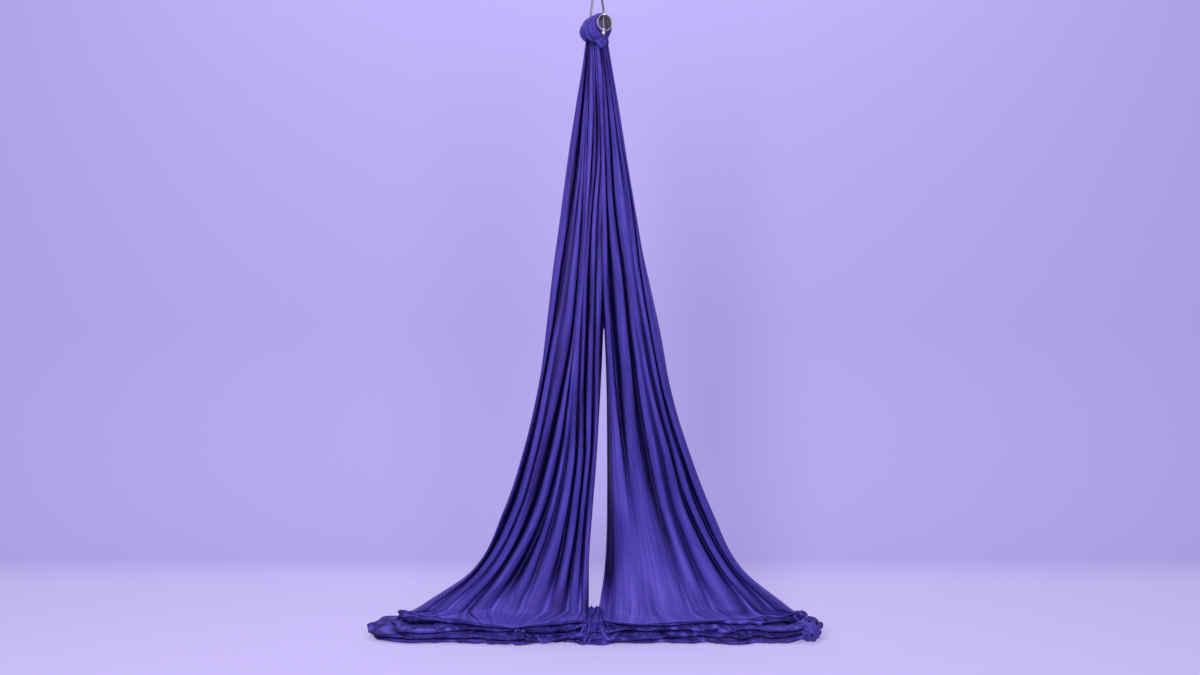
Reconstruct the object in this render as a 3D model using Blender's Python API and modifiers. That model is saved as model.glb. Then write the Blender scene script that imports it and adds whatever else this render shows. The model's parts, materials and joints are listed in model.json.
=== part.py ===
"""Aerial silks: one length of cloth hitched over a steel hanger tube, whose two tails hang
to the floor and lie there in folds. The tube hangs by a bent bail from a ball-bearing
swivel, and the swivel by a locking carabiner from a ceiling plate.

Metres, +Z up. The origin is the middle of the ceiling plate's top face, so the whole part
hangs below it. The tube's axis is turned by HANGER_HEADING from +X.
"""

import math

import bmesh
import bpy
from mathutils import Matrix, Vector

LEFT, RIGHT = -1, 1

# Clearances and finish that several pieces share
SEAT_GAP = 0.0003
RUNNING_GAP = 0.0004
THREAD_CLEARANCE = 0.0002
CUT_OVERRUN = 0.004
WELD_DISTANCE = 0.00002
SMOOTH_ANGLE = math.radians(35)
NUT_CHAMFER_ANGLE = math.radians(30)

# Ceiling plate, and the staple welded under it
PLATE_SIDE = 0.120
PLATE_THICKNESS = 0.008
PLATE_CORNER_RADIUS = 0.014
PLATE_EDGE_CHAMFER = 0.001
PLATE_HOLE_RADIUS = 0.0055
PLATE_HOLE_SPACING = 0.084
STAPLE_BAR_RADIUS = 0.006
STAPLE_HALF_SPACING = 0.021
STAPLE_LEG_LENGTH = 0.026
WELD_BEAD_SIZE = 0.003

# Carabiner: body, gate, spring and locking sleeve
LINK_BAR_RADIUS = 0.0055
LINK_HALF_WIDTH = 0.025
LINK_STRAIGHT = 0.050
TONGUE_THICKNESS = 0.0046
TONGUE_WIDTH = 0.0070
TONGUE_END_RADIUS = 0.0046
TONGUE_ROOT = 0.003
NOSE_WIDTH = 0.0076
NOSE_LENGTH = 0.0085
GATE_SHOULDER_GAP = 0.0010
GATE_SLOT_CLEARANCE = 0.0004
GATE_TOP_GAP = 0.0006
GATE_BORE_RADIUS = 0.0024
GATE_BORE_DEPTH = 0.022
GATE_PIN_RADIUS = 0.0015
PLUNGER_RADIUS = 0.0020
PLUNGER_LENGTH = 0.007
SPRING_WIRE_RADIUS = 0.0004
SPRING_TURNS = 6
SLEEVE_WALL = 0.0028
SLEEVE_LENGTH = 0.022
SLEEVE_RAISE = 0.0085
SLEEVE_FLUTES = 16
SLEEVE_FLUTE_DEPTH = 0.0006

# Swivel: eye above, thrust bearing, bow below
EYE_HOLE_RADIUS = 0.012
EYE_BAR_RADIUS = 0.005
EYE_NECK_RADIUS = 0.0075
EYE_NECK_LENGTH = 0.0075
EYE_NECK_FOOT_RADIUS = 0.0115
FLANGE_RADIUS = 0.0145
FLANGE_THICKNESS = 0.005
SHAFT_RADIUS = 0.006
SHAFT_END = 0.0015
RACE_RADIUS = 0.0140
RACE_THICKNESS = 0.003
RACE_GROOVE_DEPTH = 0.0008
BALL_RADIUS = 0.0025
BALL_COUNT = 10
CAGE_WALL = 0.0070
CAGE_THICKNESS = 0.0016
SHIELD_WALL = 0.0012
BOSS_RADIUS = 0.0175
BOSS_HEIGHT = 0.013
BOW_BAR_RADIUS = 0.0050
BOW_HALF_WIDTH = 0.020
BOW_SHOULDER_RADIUS = 0.008
BOW_DROP = 0.0365
SWIVEL_WASHER_RADIUS = 0.012
SWIVEL_WASHER_THICKNESS = 0.0025
SWIVEL_NUT_ACROSS_FLATS = 0.019
SWIVEL_NUT_HEIGHT = 0.009

# Bail, hanger tube and what clamps them together
HANGER_HEADING = math.radians(-64)
BAIL_BAR_RADIUS = 0.005
BAIL_BEND_RADIUS = 0.017
BAIL_INSET = 0.016
BAIL_DROP = 0.234
BAIL_KNEE_HEIGHT = 0.058
TUBE_LENGTH = 0.166
TUBE_RADIUS = 0.036
TUBE_WALL = 0.003
LIP_HEIGHT = 0.002
LIP_LENGTH = 0.003
LEG_NUT_ACROSS_FLATS = 0.017
INNER_NUT_HEIGHT = 0.006
SADDLE_RADIUS = 0.0095
SADDLE_THICKNESS = 0.003
DOME_NUT_HEX_HEIGHT = 0.008
DOME_NUT_CROWN = 0.0083
DOME_NUT_BOTTOM = 0.003

# The cloth's hitch: the loop round the tube, and the band that gathers both tails below it
HITCH_THICKNESS = 0.013
HITCH_NUT_GAP = 0.0015
BAND_INSET = 0.009
BAND_BOTTOM_SHARE = 0.81
BAND_HOLE_SHARE = 0.62
BAND_HEIGHT = 0.034
BAND_DEPTH_SHARE = 0.86
TAIL_IN_BAND_GAP = 0.0012

# The cloth's tails, from the band to the rolls on the floor
TUBE_ABOVE_FLOOR = 2.740
TAIL_WIDTH = 1.020
TAIL_THICKNESS = 0.034
SLIT_HALF_WIDTH = 0.034
PLEAT_DEPTH = 0.022
PLEATS = 5
FOOT_HEIGHT = 0.135
FOOT_FRONT = 0.190
FOOT_REAR = 0.130
TAIL_STATIONS = 20

# A tail's outer edge from the band down to the foot: height as a share of that drop, then
# the left and the right tail's reach as shares of TAIL_WIDTH.
EDGE_SHARES = (
    (1.000, 0.035, 0.033),
    (0.984, 0.049, 0.044),
    (0.933, 0.075, 0.071),
    (0.845, 0.106, 0.111),
    (0.757, 0.141, 0.146),
    (0.669, 0.168, 0.181),
    (0.581, 0.194, 0.225),
    (0.493, 0.221, 0.270),
    (0.405, 0.256, 0.314),
    (0.317, 0.296, 0.367),
    (0.229, 0.358, 0.446),
    (0.141, 0.441, 0.538),
    (0.097, 0.499, 0.596),
    (0.052, 0.578, 0.662),
    (0.020, 0.686, 0.760),
    (0.000, 0.812, 0.838),
)
# The slit between the tails: height as above, its middle as a share of TAIL_WIDTH, and
# its half-width as a share of SLIT_HALF_WIDTH.
SLIT_SHARES = (
    (1.000, 0.000, 0.000),
    (0.845, 0.006, 0.000),
    (0.669, 0.020, 0.000),
    (0.493, 0.033, 0.000),
    (0.470, 0.033, 0.250),
    (0.405, 0.030, 0.400),
    (0.317, 0.026, 0.530),
    (0.229, 0.018, 0.800),
    (0.141, 0.011, 1.000),
    (0.052, -0.002, 1.000),
    (0.000, -0.012, 0.700),
)
# A tail's foot, where the spare cloth lies in rolls: height as a share of FOOT_HEIGHT, how
# much of FOOT_FRONT and FOOT_REAR the cloth takes there, then its reach as in EDGE_SHARES.
FOOT_SHARES = (
    (0.86, 0.34, 0.873, 0.863),
    (0.74, 0.60, 0.892, 0.887),
    (0.64, 0.72, 0.912, 0.917),
    (0.56, 0.74, 0.946, 0.936),
    (0.46, 0.90, 0.982, 0.959),
    (0.32, 0.97, 0.997, 0.984),
    (0.24, 0.94, 1.000, 0.988),
    (0.14, 1.00, 1.001, 0.992),
    (0.05, 0.99, 1.000, 0.992),
    (0.00, 0.94, 0.990, 0.984),
)

# Heights worked out from the top down
STAPLE_TOP = -PLATE_THICKNESS - SEAT_GAP
STAPLE_CENTRE = STAPLE_TOP - STAPLE_LEG_LENGTH
STAPLE_BOTTOM = STAPLE_CENTRE - STAPLE_HALF_SPACING
LINK_TOP = STAPLE_BOTTOM + STAPLE_BAR_RADIUS + SEAT_GAP + LINK_BAR_RADIUS
LINK_UPPER_CENTRE = LINK_TOP - LINK_HALF_WIDTH
LINK_LOWER_CENTRE = LINK_UPPER_CENTRE - LINK_STRAIGHT
LINK_BOTTOM = LINK_LOWER_CENTRE - LINK_HALF_WIDTH
GATE_LENGTH = LINK_STRAIGHT - GATE_TOP_GAP
GATE_FORK_TOP = TONGUE_END_RADIUS + GATE_SLOT_CLEARANCE
GATE_BORE_TOP = GATE_FORK_TOP + GATE_BORE_DEPTH
PLUNGER_BOTTOM = TONGUE_END_RADIUS + SEAT_GAP
EYE_CENTRE = LINK_BOTTOM + LINK_BAR_RADIUS + SEAT_GAP - EYE_HOLE_RADIUS
EYE_BOTTOM = EYE_CENTRE - EYE_HOLE_RADIUS - EYE_BAR_RADIUS
FLANGE_TOP = EYE_BOTTOM - EYE_BAR_RADIUS - EYE_NECK_LENGTH
FLANGE_BOTTOM = FLANGE_TOP - FLANGE_THICKNESS
UPPER_RACE_TOP = FLANGE_BOTTOM - SEAT_GAP
UPPER_RACE_BOTTOM = UPPER_RACE_TOP - RACE_THICKNESS
BALL_HEIGHT = UPPER_RACE_BOTTOM + RACE_GROOVE_DEPTH - SEAT_GAP - BALL_RADIUS
LOWER_RACE_TOP = BALL_HEIGHT - BALL_RADIUS - SEAT_GAP + RACE_GROOVE_DEPTH
LOWER_RACE_BOTTOM = LOWER_RACE_TOP - RACE_THICKNESS
BOSS_TOP = LOWER_RACE_BOTTOM - SEAT_GAP
BOSS_BOTTOM = BOSS_TOP - BOSS_HEIGHT
SWIVEL_WASHER_TOP = BOSS_BOTTOM - SEAT_GAP
SWIVEL_NUT_TOP = SWIVEL_WASHER_TOP - SWIVEL_WASHER_THICKNESS - SEAT_GAP
SWIVEL_NUT_BOTTOM = SWIVEL_NUT_TOP - SWIVEL_NUT_HEIGHT
SHAFT_BOTTOM = SWIVEL_NUT_BOTTOM - SHAFT_END
BOW_BOTTOM = BOSS_BOTTOM - BOW_DROP - BOW_BAR_RADIUS
BAIL_TOP = BOW_BOTTOM + BOW_BAR_RADIUS + SEAT_GAP + BAIL_BAR_RADIUS
TUBE_HEIGHT = BAIL_TOP - BAIL_DROP
TUBE_BORE = TUBE_RADIUS - TUBE_WALL
BAIL_HALF_SPAN = TUBE_LENGTH / 2 - BAIL_INSET
TUBE_BOTTOM = TUBE_HEIGHT - TUBE_RADIUS
FLOOR = TUBE_HEIGHT - TUBE_ABOVE_FLOOR
SADDLE_BOTTOM = TUBE_BOTTOM - SEAT_GAP - SADDLE_THICKNESS
DOME_NUT_TOP = SADDLE_BOTTOM - SEAT_GAP
DOME_NUT_HEX_BOTTOM = DOME_NUT_TOP - DOME_NUT_HEX_HEIGHT
BAIL_FOOT = DOME_NUT_HEX_BOTTOM - DOME_NUT_CROWN + DOME_NUT_BOTTOM + SEAT_GAP
BAND_TOP = TUBE_BOTTOM - 2 * SEAT_GAP - HITCH_THICKNESS
BAND_BOTTOM = BAND_TOP - BAND_HEIGHT
BAND_TOP_RADIUS = BAIL_HALF_SPAN - BAND_INSET
BAND_BOTTOM_RADIUS = BAND_TOP_RADIUS * BAND_BOTTOM_SHARE
BAND_HOLE_RADIUS = BAND_TOP_RADIUS * BAND_HOLE_SHARE
FOOT_TOP = FLOOR + FOOT_HEIGHT
RACE_BORE = SHAFT_RADIUS + RUNNING_GAP
RACE_MIDDLE = (RACE_BORE + RACE_RADIUS) / 2
LEG_HOLE_RADIUS = BAIL_BAR_RADIUS + THREAD_CLEARANCE


def clear_scene():
    for obj in list(bpy.data.objects):
        bpy.data.objects.remove(obj)


def new_collection(name):
    collection = bpy.data.collections.new(name)
    bpy.context.scene.collection.children.link(collection)
    return collection


def new_material(name, colour, roughness, metallic):
    material = bpy.data.materials.new(name)
    material.use_nodes = True
    shader = material.node_tree.nodes["Principled BSDF"]
    shader.inputs["Base Color"].default_value = (*colour, 1)
    shader.inputs["Roughness"].default_value = roughness
    shader.inputs["Metallic"].default_value = metallic
    material.diffuse_color = (*colour, 1)
    return material


clear_scene()
PARTS = new_collection("aerial_silks")
CUTTERS = new_collection("cutters")
POLISHED = new_material("polished_steel", (0.62, 0.61, 0.60), 0.22, 1.0)
BAR_STEEL = new_material("bail_steel", (0.50, 0.49, 0.48), 0.28, 1.0)
FORGED = new_material("forged_steel", (0.30, 0.30, 0.31), 0.35, 1.0)
PLATED = new_material("plated_steel", (0.66, 0.65, 0.62), 0.30, 1.0)
PAINTED = new_material("painted_plate", (0.55, 0.55, 0.56), 0.45, 0.0)
SHIELD = new_material("bearing_shield", (0.05, 0.05, 0.055), 0.60, 0.0)
CLOTH = new_material("silk_cloth", (0.066, 0.047, 0.36), 0.45, 0.0)


def new_empty(name, location=(0, 0, 0), parent=None, turn=0):
    empty = bpy.data.objects.new(name, None)
    empty.location = location
    empty.rotation_euler.z = turn
    empty.parent = parent
    PARTS.objects.link(empty)
    return empty


def place(obj, material, parent, location=(0, 0, 0)):
    """Puts a piece in its collection, on its parent, with its material."""
    PARTS.objects.link(obj)
    obj.parent = parent
    obj.location = location
    obj.data.materials.append(material)
    return obj


def combine(target, others, operation):
    """Adds a Boolean for each helper object, which itself stays out of the render."""
    for other in others:
        CUTTERS.objects.link(other)
        other.parent = target.parent
        other.hide_render = True
        other.display_type = "WIRE"
        modifier = target.modifiers.new(other.name, "BOOLEAN")
        modifier.object = other
        modifier.operation = operation
        modifier.solver = "EXACT"


def cut(target, *others):
    combine(target, others, "DIFFERENCE")


def fuse(target, *others):
    combine(target, others, "UNION")


def finish_mesh(name, bm):
    """Turns a bmesh into an object that is smooth where it is round."""
    bmesh.ops.recalc_face_normals(bm, faces=bm.faces)
    mesh = bpy.data.meshes.new(name)
    bm.to_mesh(mesh)
    bm.free()
    mesh.shade_smooth()
    mesh.set_sharp_from_angle(angle=SMOOTH_ANGLE)
    return bpy.data.objects.new(name, mesh)


def mesh_of(obj):
    """A mesh object with a curve object's shape, its caps welded. The curve is removed."""
    bpy.context.scene.collection.objects.link(obj)
    graph = bpy.context.evaluated_depsgraph_get()
    mesh = bpy.data.meshes.new_from_object(obj.evaluated_get(graph))
    name, matrix = obj.name, obj.matrix_world.copy()
    bpy.data.objects.remove(obj)
    bm = bmesh.new()
    bm.from_mesh(mesh)
    bmesh.ops.remove_doubles(bm, verts=bm.verts, dist=WELD_DISTANCE)
    bmesh.ops.transform(bm, matrix=matrix, verts=bm.verts)
    return finish_mesh(name, bm)


def cylinder(name, radius, low, high, axis="Z", at=(0, 0), sides=24, high_radius=None):
    """A cylinder or cone from low to high along an axis, with at in the other two."""
    bm = bmesh.new()
    bmesh.ops.create_cone(
        bm,
        cap_ends=True,
        segments=sides,
        radius1=radius,
        radius2=radius if high_radius is None else high_radius,
        depth=high - low,
    )
    middle = (low + high) / 2
    turn = Matrix.Identity(4)
    shift = Vector((*at, middle))
    if axis == "X":
        turn = Matrix.Rotation(math.pi / 2, 4, "Y")
        shift = Vector((middle, *at))
    elif axis == "Y":
        turn = Matrix.Rotation(-math.pi / 2, 4, "X")
        shift = Vector((at[0], middle, at[1]))
    bmesh.ops.transform(bm, matrix=Matrix.Translation(shift) @ turn, verts=bm.verts)
    return finish_mesh(name, bm)


def box(name, low, high):
    bm = bmesh.new()
    bmesh.ops.create_cube(bm, size=1)
    low, high = Vector(low), Vector(high)
    size = Matrix.Diagonal((*(high - low), 1))
    move = Matrix.Translation((low + high) / 2)
    bmesh.ops.transform(bm, matrix=move @ size, verts=bm.verts)
    return finish_mesh(name, bm)


def ball(name, radius, centre, rings, segments):
    bm = bmesh.new()
    bmesh.ops.create_uvsphere(bm, u_segments=segments, v_segments=rings, radius=radius)
    bmesh.ops.translate(bm, vec=centre, verts=bm.verts)
    return finish_mesh(name, bm)


def turned(name, profile, steps=32, closed=True):
    """A shape turned about Z from (radius, height) pairs, which run down its outer side."""
    mesh = bpy.data.meshes.new(name)
    points = [(radius, 0, height) for radius, height in profile]
    edges = [(i, i + 1) for i in range(len(points) - 1)]
    if closed:
        edges.append((len(points) - 1, 0))
    mesh.from_pydata(points, edges, [])
    piece = bpy.data.objects.new(name, mesh)
    screw = piece.modifiers.new("turn", "SCREW")
    screw.axis = "Z"
    screw.angle = math.tau
    screw.steps = steps
    screw.render_steps = steps
    screw.use_merge_vertices = True
    screw.merge_threshold = WELD_DISTANCE
    screw.use_smooth_shade = True
    return piece


def loft(name, sections):
    """A closed solid through rings of equally many points, with a cap at each end."""
    bm = bmesh.new()
    rings = [[bm.verts.new(point) for point in section] for section in sections]
    for lower, upper in zip(rings, rings[1:]):
        for i in range(len(lower)):
            j = (i + 1) % len(lower)
            bm.faces.new((lower[i], lower[j], upper[j], upper[i]))
    caps = [bm.faces.new(rings[0]), bm.faces.new(rings[-1])]
    bmesh.ops.triangulate(bm, faces=caps)
    return finish_mesh(name, bm)


def bar(name, path, radius, cyclic=False, resolution=3):
    """A round bar bent along a path, as a curve object with filled caps."""
    curve = bpy.data.curves.new(name, "CURVE")
    curve.dimensions = "3D"
    curve.bevel_depth = radius
    curve.bevel_resolution = resolution
    curve.use_fill_caps = True
    spline = curve.splines.new("POLY")
    spline.points.add(len(path) - 1)
    for point, at in zip(spline.points, path):
        point.co = (*at, 1)
    spline.use_cyclic_u = cyclic
    spline.use_smooth = True
    return bpy.data.objects.new(name, curve)


def plate(name, outlines, bottom, top, chamfer=0):
    """A flat outline, with inner outlines as holes, extruded from bottom to top."""
    curve = bpy.data.curves.new(name, "CURVE")
    curve.dimensions = "2D"
    curve.fill_mode = "BOTH"
    curve.extrude = (top - bottom) / 2 - chamfer
    curve.bevel_depth = chamfer
    curve.bevel_resolution = 0
    curve.offset = -chamfer
    for outline in outlines:
        spline = curve.splines.new("POLY")
        spline.points.add(len(outline) - 1)
        for point, at in zip(spline.points, outline):
            point.co = (*at, 0, 1)
        spline.use_cyclic_u = True
    piece = bpy.data.objects.new(name, curve)
    piece.location.z = (top + bottom) / 2
    return piece


def arc(centre, radius, start, end, steps):
    """Points of an arc in the XZ plane, with angles in degrees from +X towards +Z."""
    points = []
    for step in range(steps + 1):
        angle = math.radians(start + (end - start) * step / steps)
        x = centre[0] + radius * math.cos(angle)
        z = centre[1] + radius * math.sin(angle)
        points.append((x, 0, z))
    return points


def across(path):
    """The same path in the YZ plane."""
    return [(y, x, z) for x, y, z in path]


def circle(radius, at=(0, 0), sides=24):
    angles = [math.tau * i / sides for i in range(sides)]
    return [(at[0] + radius * math.cos(a), at[1] + radius * math.sin(a)) for a in angles]


def fluted_circle(radius, flutes, depth):
    points = []
    for i in range(4 * flutes):
        angle = math.tau * i / (4 * flutes)
        reach = radius - depth * math.sin(flutes * angle / 2) ** 2
        points.append((reach * math.cos(angle), reach * math.sin(angle)))
    return points


def rounded_square(half_side, corner, steps=4):
    points = []
    inset = half_side - corner
    corners = ((inset, inset), (-inset, inset), (-inset, -inset), (inset, -inset))
    for quarter, (x, y) in enumerate(corners):
        for step in range(steps + 1):
            angle = math.pi / 2 * (quarter + step / steps)
            points.append((x + corner * math.cos(angle), y + corner * math.sin(angle)))
    return points


def drop_at(radius, half_chord):
    """How far a circle falls away from its tangent at half a chord's length."""
    return radius - math.sqrt(radius**2 - half_chord**2)


def corner_radius(across_flats):
    return across_flats / 2 / math.cos(math.pi / 6)


def table_value(table, share, column):
    """A value between a table's rows, on a smooth curve that never overshoots them."""
    last = len(table) - 1
    row = next((i for i in range(last) if share >= table[i + 1][0]), last - 1)
    upper, lower = table[row], table[row + 1]
    span = upper[0] - lower[0]
    t = (share - lower[0]) / span
    slope_low = table_slope(table, row + 1, column)
    slope_high = table_slope(table, row, column)
    rise = 3 * t**2 - 2 * t**3
    return (
        lower[column] * (1 - rise)
        + upper[column] * rise
        + slope_low * span * (t**3 - 2 * t**2 + t)
        + slope_high * span * (t**3 - t**2)
    )


def table_slope(table, row, column):
    """The harmonic mean of the slopes above and below a row, or 0 where they differ in sign."""
    slopes = []
    for i in (row - 1, row):
        if 0 <= i < len(table) - 1:
            rise = table[i][column] - table[i + 1][column]
            slopes.append(rise / (table[i][0] - table[i + 1][0]))
    above, below = slopes[0], slopes[-1]
    if above * below <= 0:
        return 0
    return 2 * above * below / (above + below)


# Ceiling fitting


def make_ceiling_plate(rig):
    half = PLATE_HOLE_SPACING / 2
    corners = [(x, y) for x in (-half, half) for y in (-half, half)]
    holes = [circle(PLATE_HOLE_RADIUS, at, sides=12) for at in corners]
    square = rounded_square(PLATE_SIDE / 2, PLATE_CORNER_RADIUS)
    piece = plate("ceiling_plate", [square, *holes], -PLATE_THICKNESS, 0, PLATE_EDGE_CHAMFER)
    place(piece, PAINTED, rig, piece.location)


def make_anchor_staple(rig):
    """A U of round bar whose two legs are welded to the plate's underside."""
    path = [(STAPLE_HALF_SPACING, 0, STAPLE_TOP)]
    path += arc((0, STAPLE_CENTRE), STAPLE_HALF_SPACING, 0, -180, 12)
    path += [(-STAPLE_HALF_SPACING, 0, STAPLE_TOP)]
    staple = mesh_of(bar("anchor_staple", across(path), STAPLE_BAR_RADIUS))
    place(staple, FORGED, rig)
    for side, name in ((LEFT, "front_weld_bead"), (RIGHT, "rear_weld_bead")):
        bead = cylinder(
            name,
            STAPLE_BAR_RADIUS,
            STAPLE_TOP - WELD_BEAD_SIZE,
            STAPLE_TOP,
            at=(0, side * STAPLE_HALF_SPACING),
            high_radius=STAPLE_BAR_RADIUS + WELD_BEAD_SIZE,
        )
        fuse(staple, bead)


# Carabiner


def make_carabiner_body(rig):
    """The carabiner's C, with a tongue for the gate's hinge below and a nose above."""
    shoulder = math.degrees((LINK_BAR_RADIUS + GATE_SHOULDER_GAP) / LINK_HALF_WIDTH)
    path = arc((0, LINK_LOWER_CENTRE), LINK_HALF_WIDTH, -shoulder, -180, 13)
    path += arc((0, LINK_UPPER_CENTRE), LINK_HALF_WIDTH, 180, 0, 15)
    body = mesh_of(bar("carabiner_body", path, LINK_BAR_RADIUS))
    place(body, FORGED, rig)
    half = TONGUE_THICKNESS / 2
    shoulder_height = LINK_LOWER_CENTRE - LINK_BAR_RADIUS - GATE_SHOULDER_GAP
    tongue = box(
        "hinge_tongue",
        (LINK_HALF_WIDTH - TONGUE_WIDTH / 2, -half, shoulder_height - TONGUE_ROOT),
        (LINK_HALF_WIDTH + TONGUE_WIDTH / 2, half, LINK_LOWER_CENTRE),
    )
    at = (LINK_HALF_WIDTH, LINK_LOWER_CENTRE)
    knuckle = cylinder("hinge_knuckle", TONGUE_END_RADIUS, -half, half, axis="Y", at=at)
    nose = box(
        "nose",
        (LINK_HALF_WIDTH - NOSE_WIDTH / 2, -half, LINK_UPPER_CENTRE - NOSE_LENGTH),
        (LINK_HALF_WIDTH + NOSE_WIDTH / 2, half, LINK_UPPER_CENTRE + TONGUE_ROOT),
    )
    fuse(body, tongue, knuckle, nose)
    reach = half + CUT_OVERRUN
    hole_radius = GATE_PIN_RADIUS + THREAD_CLEARANCE
    cut(body, cylinder("tongue_pin_hole", hole_radius, -reach, reach, axis="Y", at=at, sides=16))


def make_gate_pin(rig):
    half = LINK_BAR_RADIUS - SEAT_GAP
    at = (LINK_HALF_WIDTH, LINK_LOWER_CENTRE)
    pin = cylinder("gate_pin", GATE_PIN_RADIUS, -half, half, axis="Y", at=at, sides=16)
    place(pin, PLATED, rig)


def make_gate(hinge):
    """The gate, from its hinge up: round foot, fork, spring bore, and a slot for the nose."""
    gate = cylinder("gate", LINK_BAR_RADIUS, 0, GATE_LENGTH)
    place(gate, PLATED, hinge)
    fuse(gate, ball("gate_round_foot", LINK_BAR_RADIUS, (0, 0, 0), 12, 24))
    reach = LINK_BAR_RADIUS + CUT_OVERRUN
    half_slot = TONGUE_THICKNESS / 2 + GATE_SLOT_CLEARANCE
    fork = box("gate_fork", (-reach, -half_slot, -reach), (reach, half_slot, GATE_FORK_TOP))
    slot_side = -NOSE_WIDTH / 2 - GATE_SLOT_CLEARANCE
    slot_bottom = LINK_STRAIGHT - NOSE_LENGTH - GATE_SLOT_CLEARANCE
    nose_slot = box(
        "gate_nose_slot",
        (slot_side, -half_slot, slot_bottom),
        (reach, half_slot, GATE_LENGTH + CUT_OVERRUN),
    )
    hole_radius = GATE_PIN_RADIUS + THREAD_CLEARANCE
    pin_hole = cylinder("gate_pin_hole", hole_radius, -reach, reach, axis="Y", sides=16)
    bore = cylinder("gate_spring_bore", GATE_BORE_RADIUS, 0, GATE_BORE_TOP, sides=16)
    cut(gate, fork, nose_slot, pin_hole, bore)


def make_gate_spring(hinge):
    """The plunger that bears on the tongue, and the coil that presses it out of the bore."""
    top = PLUNGER_BOTTOM + PLUNGER_LENGTH
    plunger = cylinder("gate_plunger", PLUNGER_RADIUS, PLUNGER_BOTTOM, top, sides=16)
    place(plunger, PLATED, hinge)
    coil_bottom = top + SEAT_GAP + SPRING_WIRE_RADIUS
    coil_top = GATE_BORE_TOP - SEAT_GAP - SPRING_WIRE_RADIUS
    coil_radius = PLUNGER_RADIUS - SPRING_WIRE_RADIUS
    steps = 9 * SPRING_TURNS
    path = []
    for step in range(steps + 1):
        angle = math.tau * SPRING_TURNS * step / steps
        height = coil_bottom + (coil_top - coil_bottom) * step / steps
        path.append((coil_radius * math.cos(angle), coil_radius * math.sin(angle), height))
    place(bar("gate_spring", path, SPRING_WIRE_RADIUS, resolution=1), PLATED, hinge)


def make_locking_sleeve(hinge):
    inner = LINK_BAR_RADIUS + RUNNING_GAP
    flutes = fluted_circle(inner + SLEEVE_WALL, SLEEVE_FLUTES, SLEEVE_FLUTE_DEPTH)
    top = SLEEVE_RAISE + SLEEVE_LENGTH
    sleeve = plate("locking_sleeve", [flutes, circle(inner)], SLEEVE_RAISE, top)
    place(sleeve, PLATED, hinge, sleeve.location)


# Swivel


def make_swivel_eye(rig):
    """The swivel's upper half: a round eye, its neck, flange and shaft."""
    centreline = EYE_HOLE_RADIUS + EYE_BAR_RADIUS
    path = across(arc((0, EYE_CENTRE), centreline, 0, 345, 23))
    eye = mesh_of(bar("swivel_eye", path, EYE_BAR_RADIUS, cyclic=True))
    place(eye, POLISHED, rig)
    middle = (FLANGE_TOP + FLANGE_BOTTOM) / 2
    neck = cylinder(
        "eye_neck", EYE_NECK_FOOT_RADIUS, middle, EYE_BOTTOM, high_radius=EYE_NECK_RADIUS
    )
    flange = cylinder("eye_flange", FLANGE_RADIUS, FLANGE_BOTTOM, FLANGE_TOP, sides=28)
    shaft = cylinder("eye_shaft", SHAFT_RADIUS, SHAFT_BOTTOM, middle)
    fuse(eye, neck, flange, shaft)


def groove_points():
    """The ball groove's section, as (radius, depth) pairs from its outer edge inwards."""
    half = math.sqrt(BALL_RADIUS**2 - (BALL_RADIUS - RACE_GROOVE_DEPTH) ** 2) + SEAT_GAP
    shares = ((1, 0), (0.5, 0.75), (0, 1), (-0.5, 0.75), (-1, 0))
    return [(RACE_MIDDLE + half * out, RACE_GROOVE_DEPTH * down) for out, down in shares]


def make_races(rig, silks):
    upper = [
        (RACE_RADIUS, UPPER_RACE_TOP),
        (RACE_RADIUS, UPPER_RACE_BOTTOM),
        *((radius, UPPER_RACE_BOTTOM + depth) for radius, depth in groove_points()),
        (RACE_BORE, UPPER_RACE_BOTTOM),
        (RACE_BORE, UPPER_RACE_TOP),
    ]
    place(turned("upper_race", upper, steps=24), POLISHED, rig)
    lower = [
        (RACE_RADIUS, LOWER_RACE_TOP),
        (RACE_RADIUS, LOWER_RACE_BOTTOM),
        (RACE_BORE, LOWER_RACE_BOTTOM),
        (RACE_BORE, LOWER_RACE_TOP),
        *((radius, LOWER_RACE_TOP - depth) for radius, depth in reversed(groove_points())),
    ]
    place(turned("lower_race", lower, steps=24), POLISHED, silks)


def make_balls(silks):
    """The bearing's balls, each in a pocket of a flat cage."""
    half = CAGE_THICKNESS / 2
    outer = RACE_MIDDLE + CAGE_WALL / 2
    cage = cylinder("ball_cage", outer, BALL_HEIGHT - half, BALL_HEIGHT + half, sides=30)
    place(cage, PLATED, silks)
    low = BALL_HEIGHT - half - CUT_OVERRUN
    high = BALL_HEIGHT + half + CUT_OVERRUN
    cut(cage, cylinder("cage_bore", RACE_MIDDLE - CAGE_WALL / 2, low, high))
    for i in range(BALL_COUNT):
        angle = math.tau * i / BALL_COUNT
        at = (RACE_MIDDLE * math.cos(angle), RACE_MIDDLE * math.sin(angle))
        pocket = BALL_RADIUS + SEAT_GAP
        cut(cage, cylinder(f"cage_pocket_{i + 1}", pocket, low, high, at=at, sides=12))
        piece = ball(f"bearing_ball_{i + 1}", BALL_RADIUS, (*at, BALL_HEIGHT), 6, 8)
        place(piece, POLISHED, silks)


def make_bearing_shield(silks):
    inner = max(RACE_RADIUS, FLANGE_RADIUS) + RUNNING_GAP
    outer = inner + SHIELD_WALL
    top = UPPER_RACE_TOP
    bottom = BOSS_TOP + SEAT_GAP
    profile = [(outer, top), (outer, bottom), (inner, bottom), (inner, top)]
    place(turned("bearing_shield", profile), SHIELD, silks)


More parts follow.
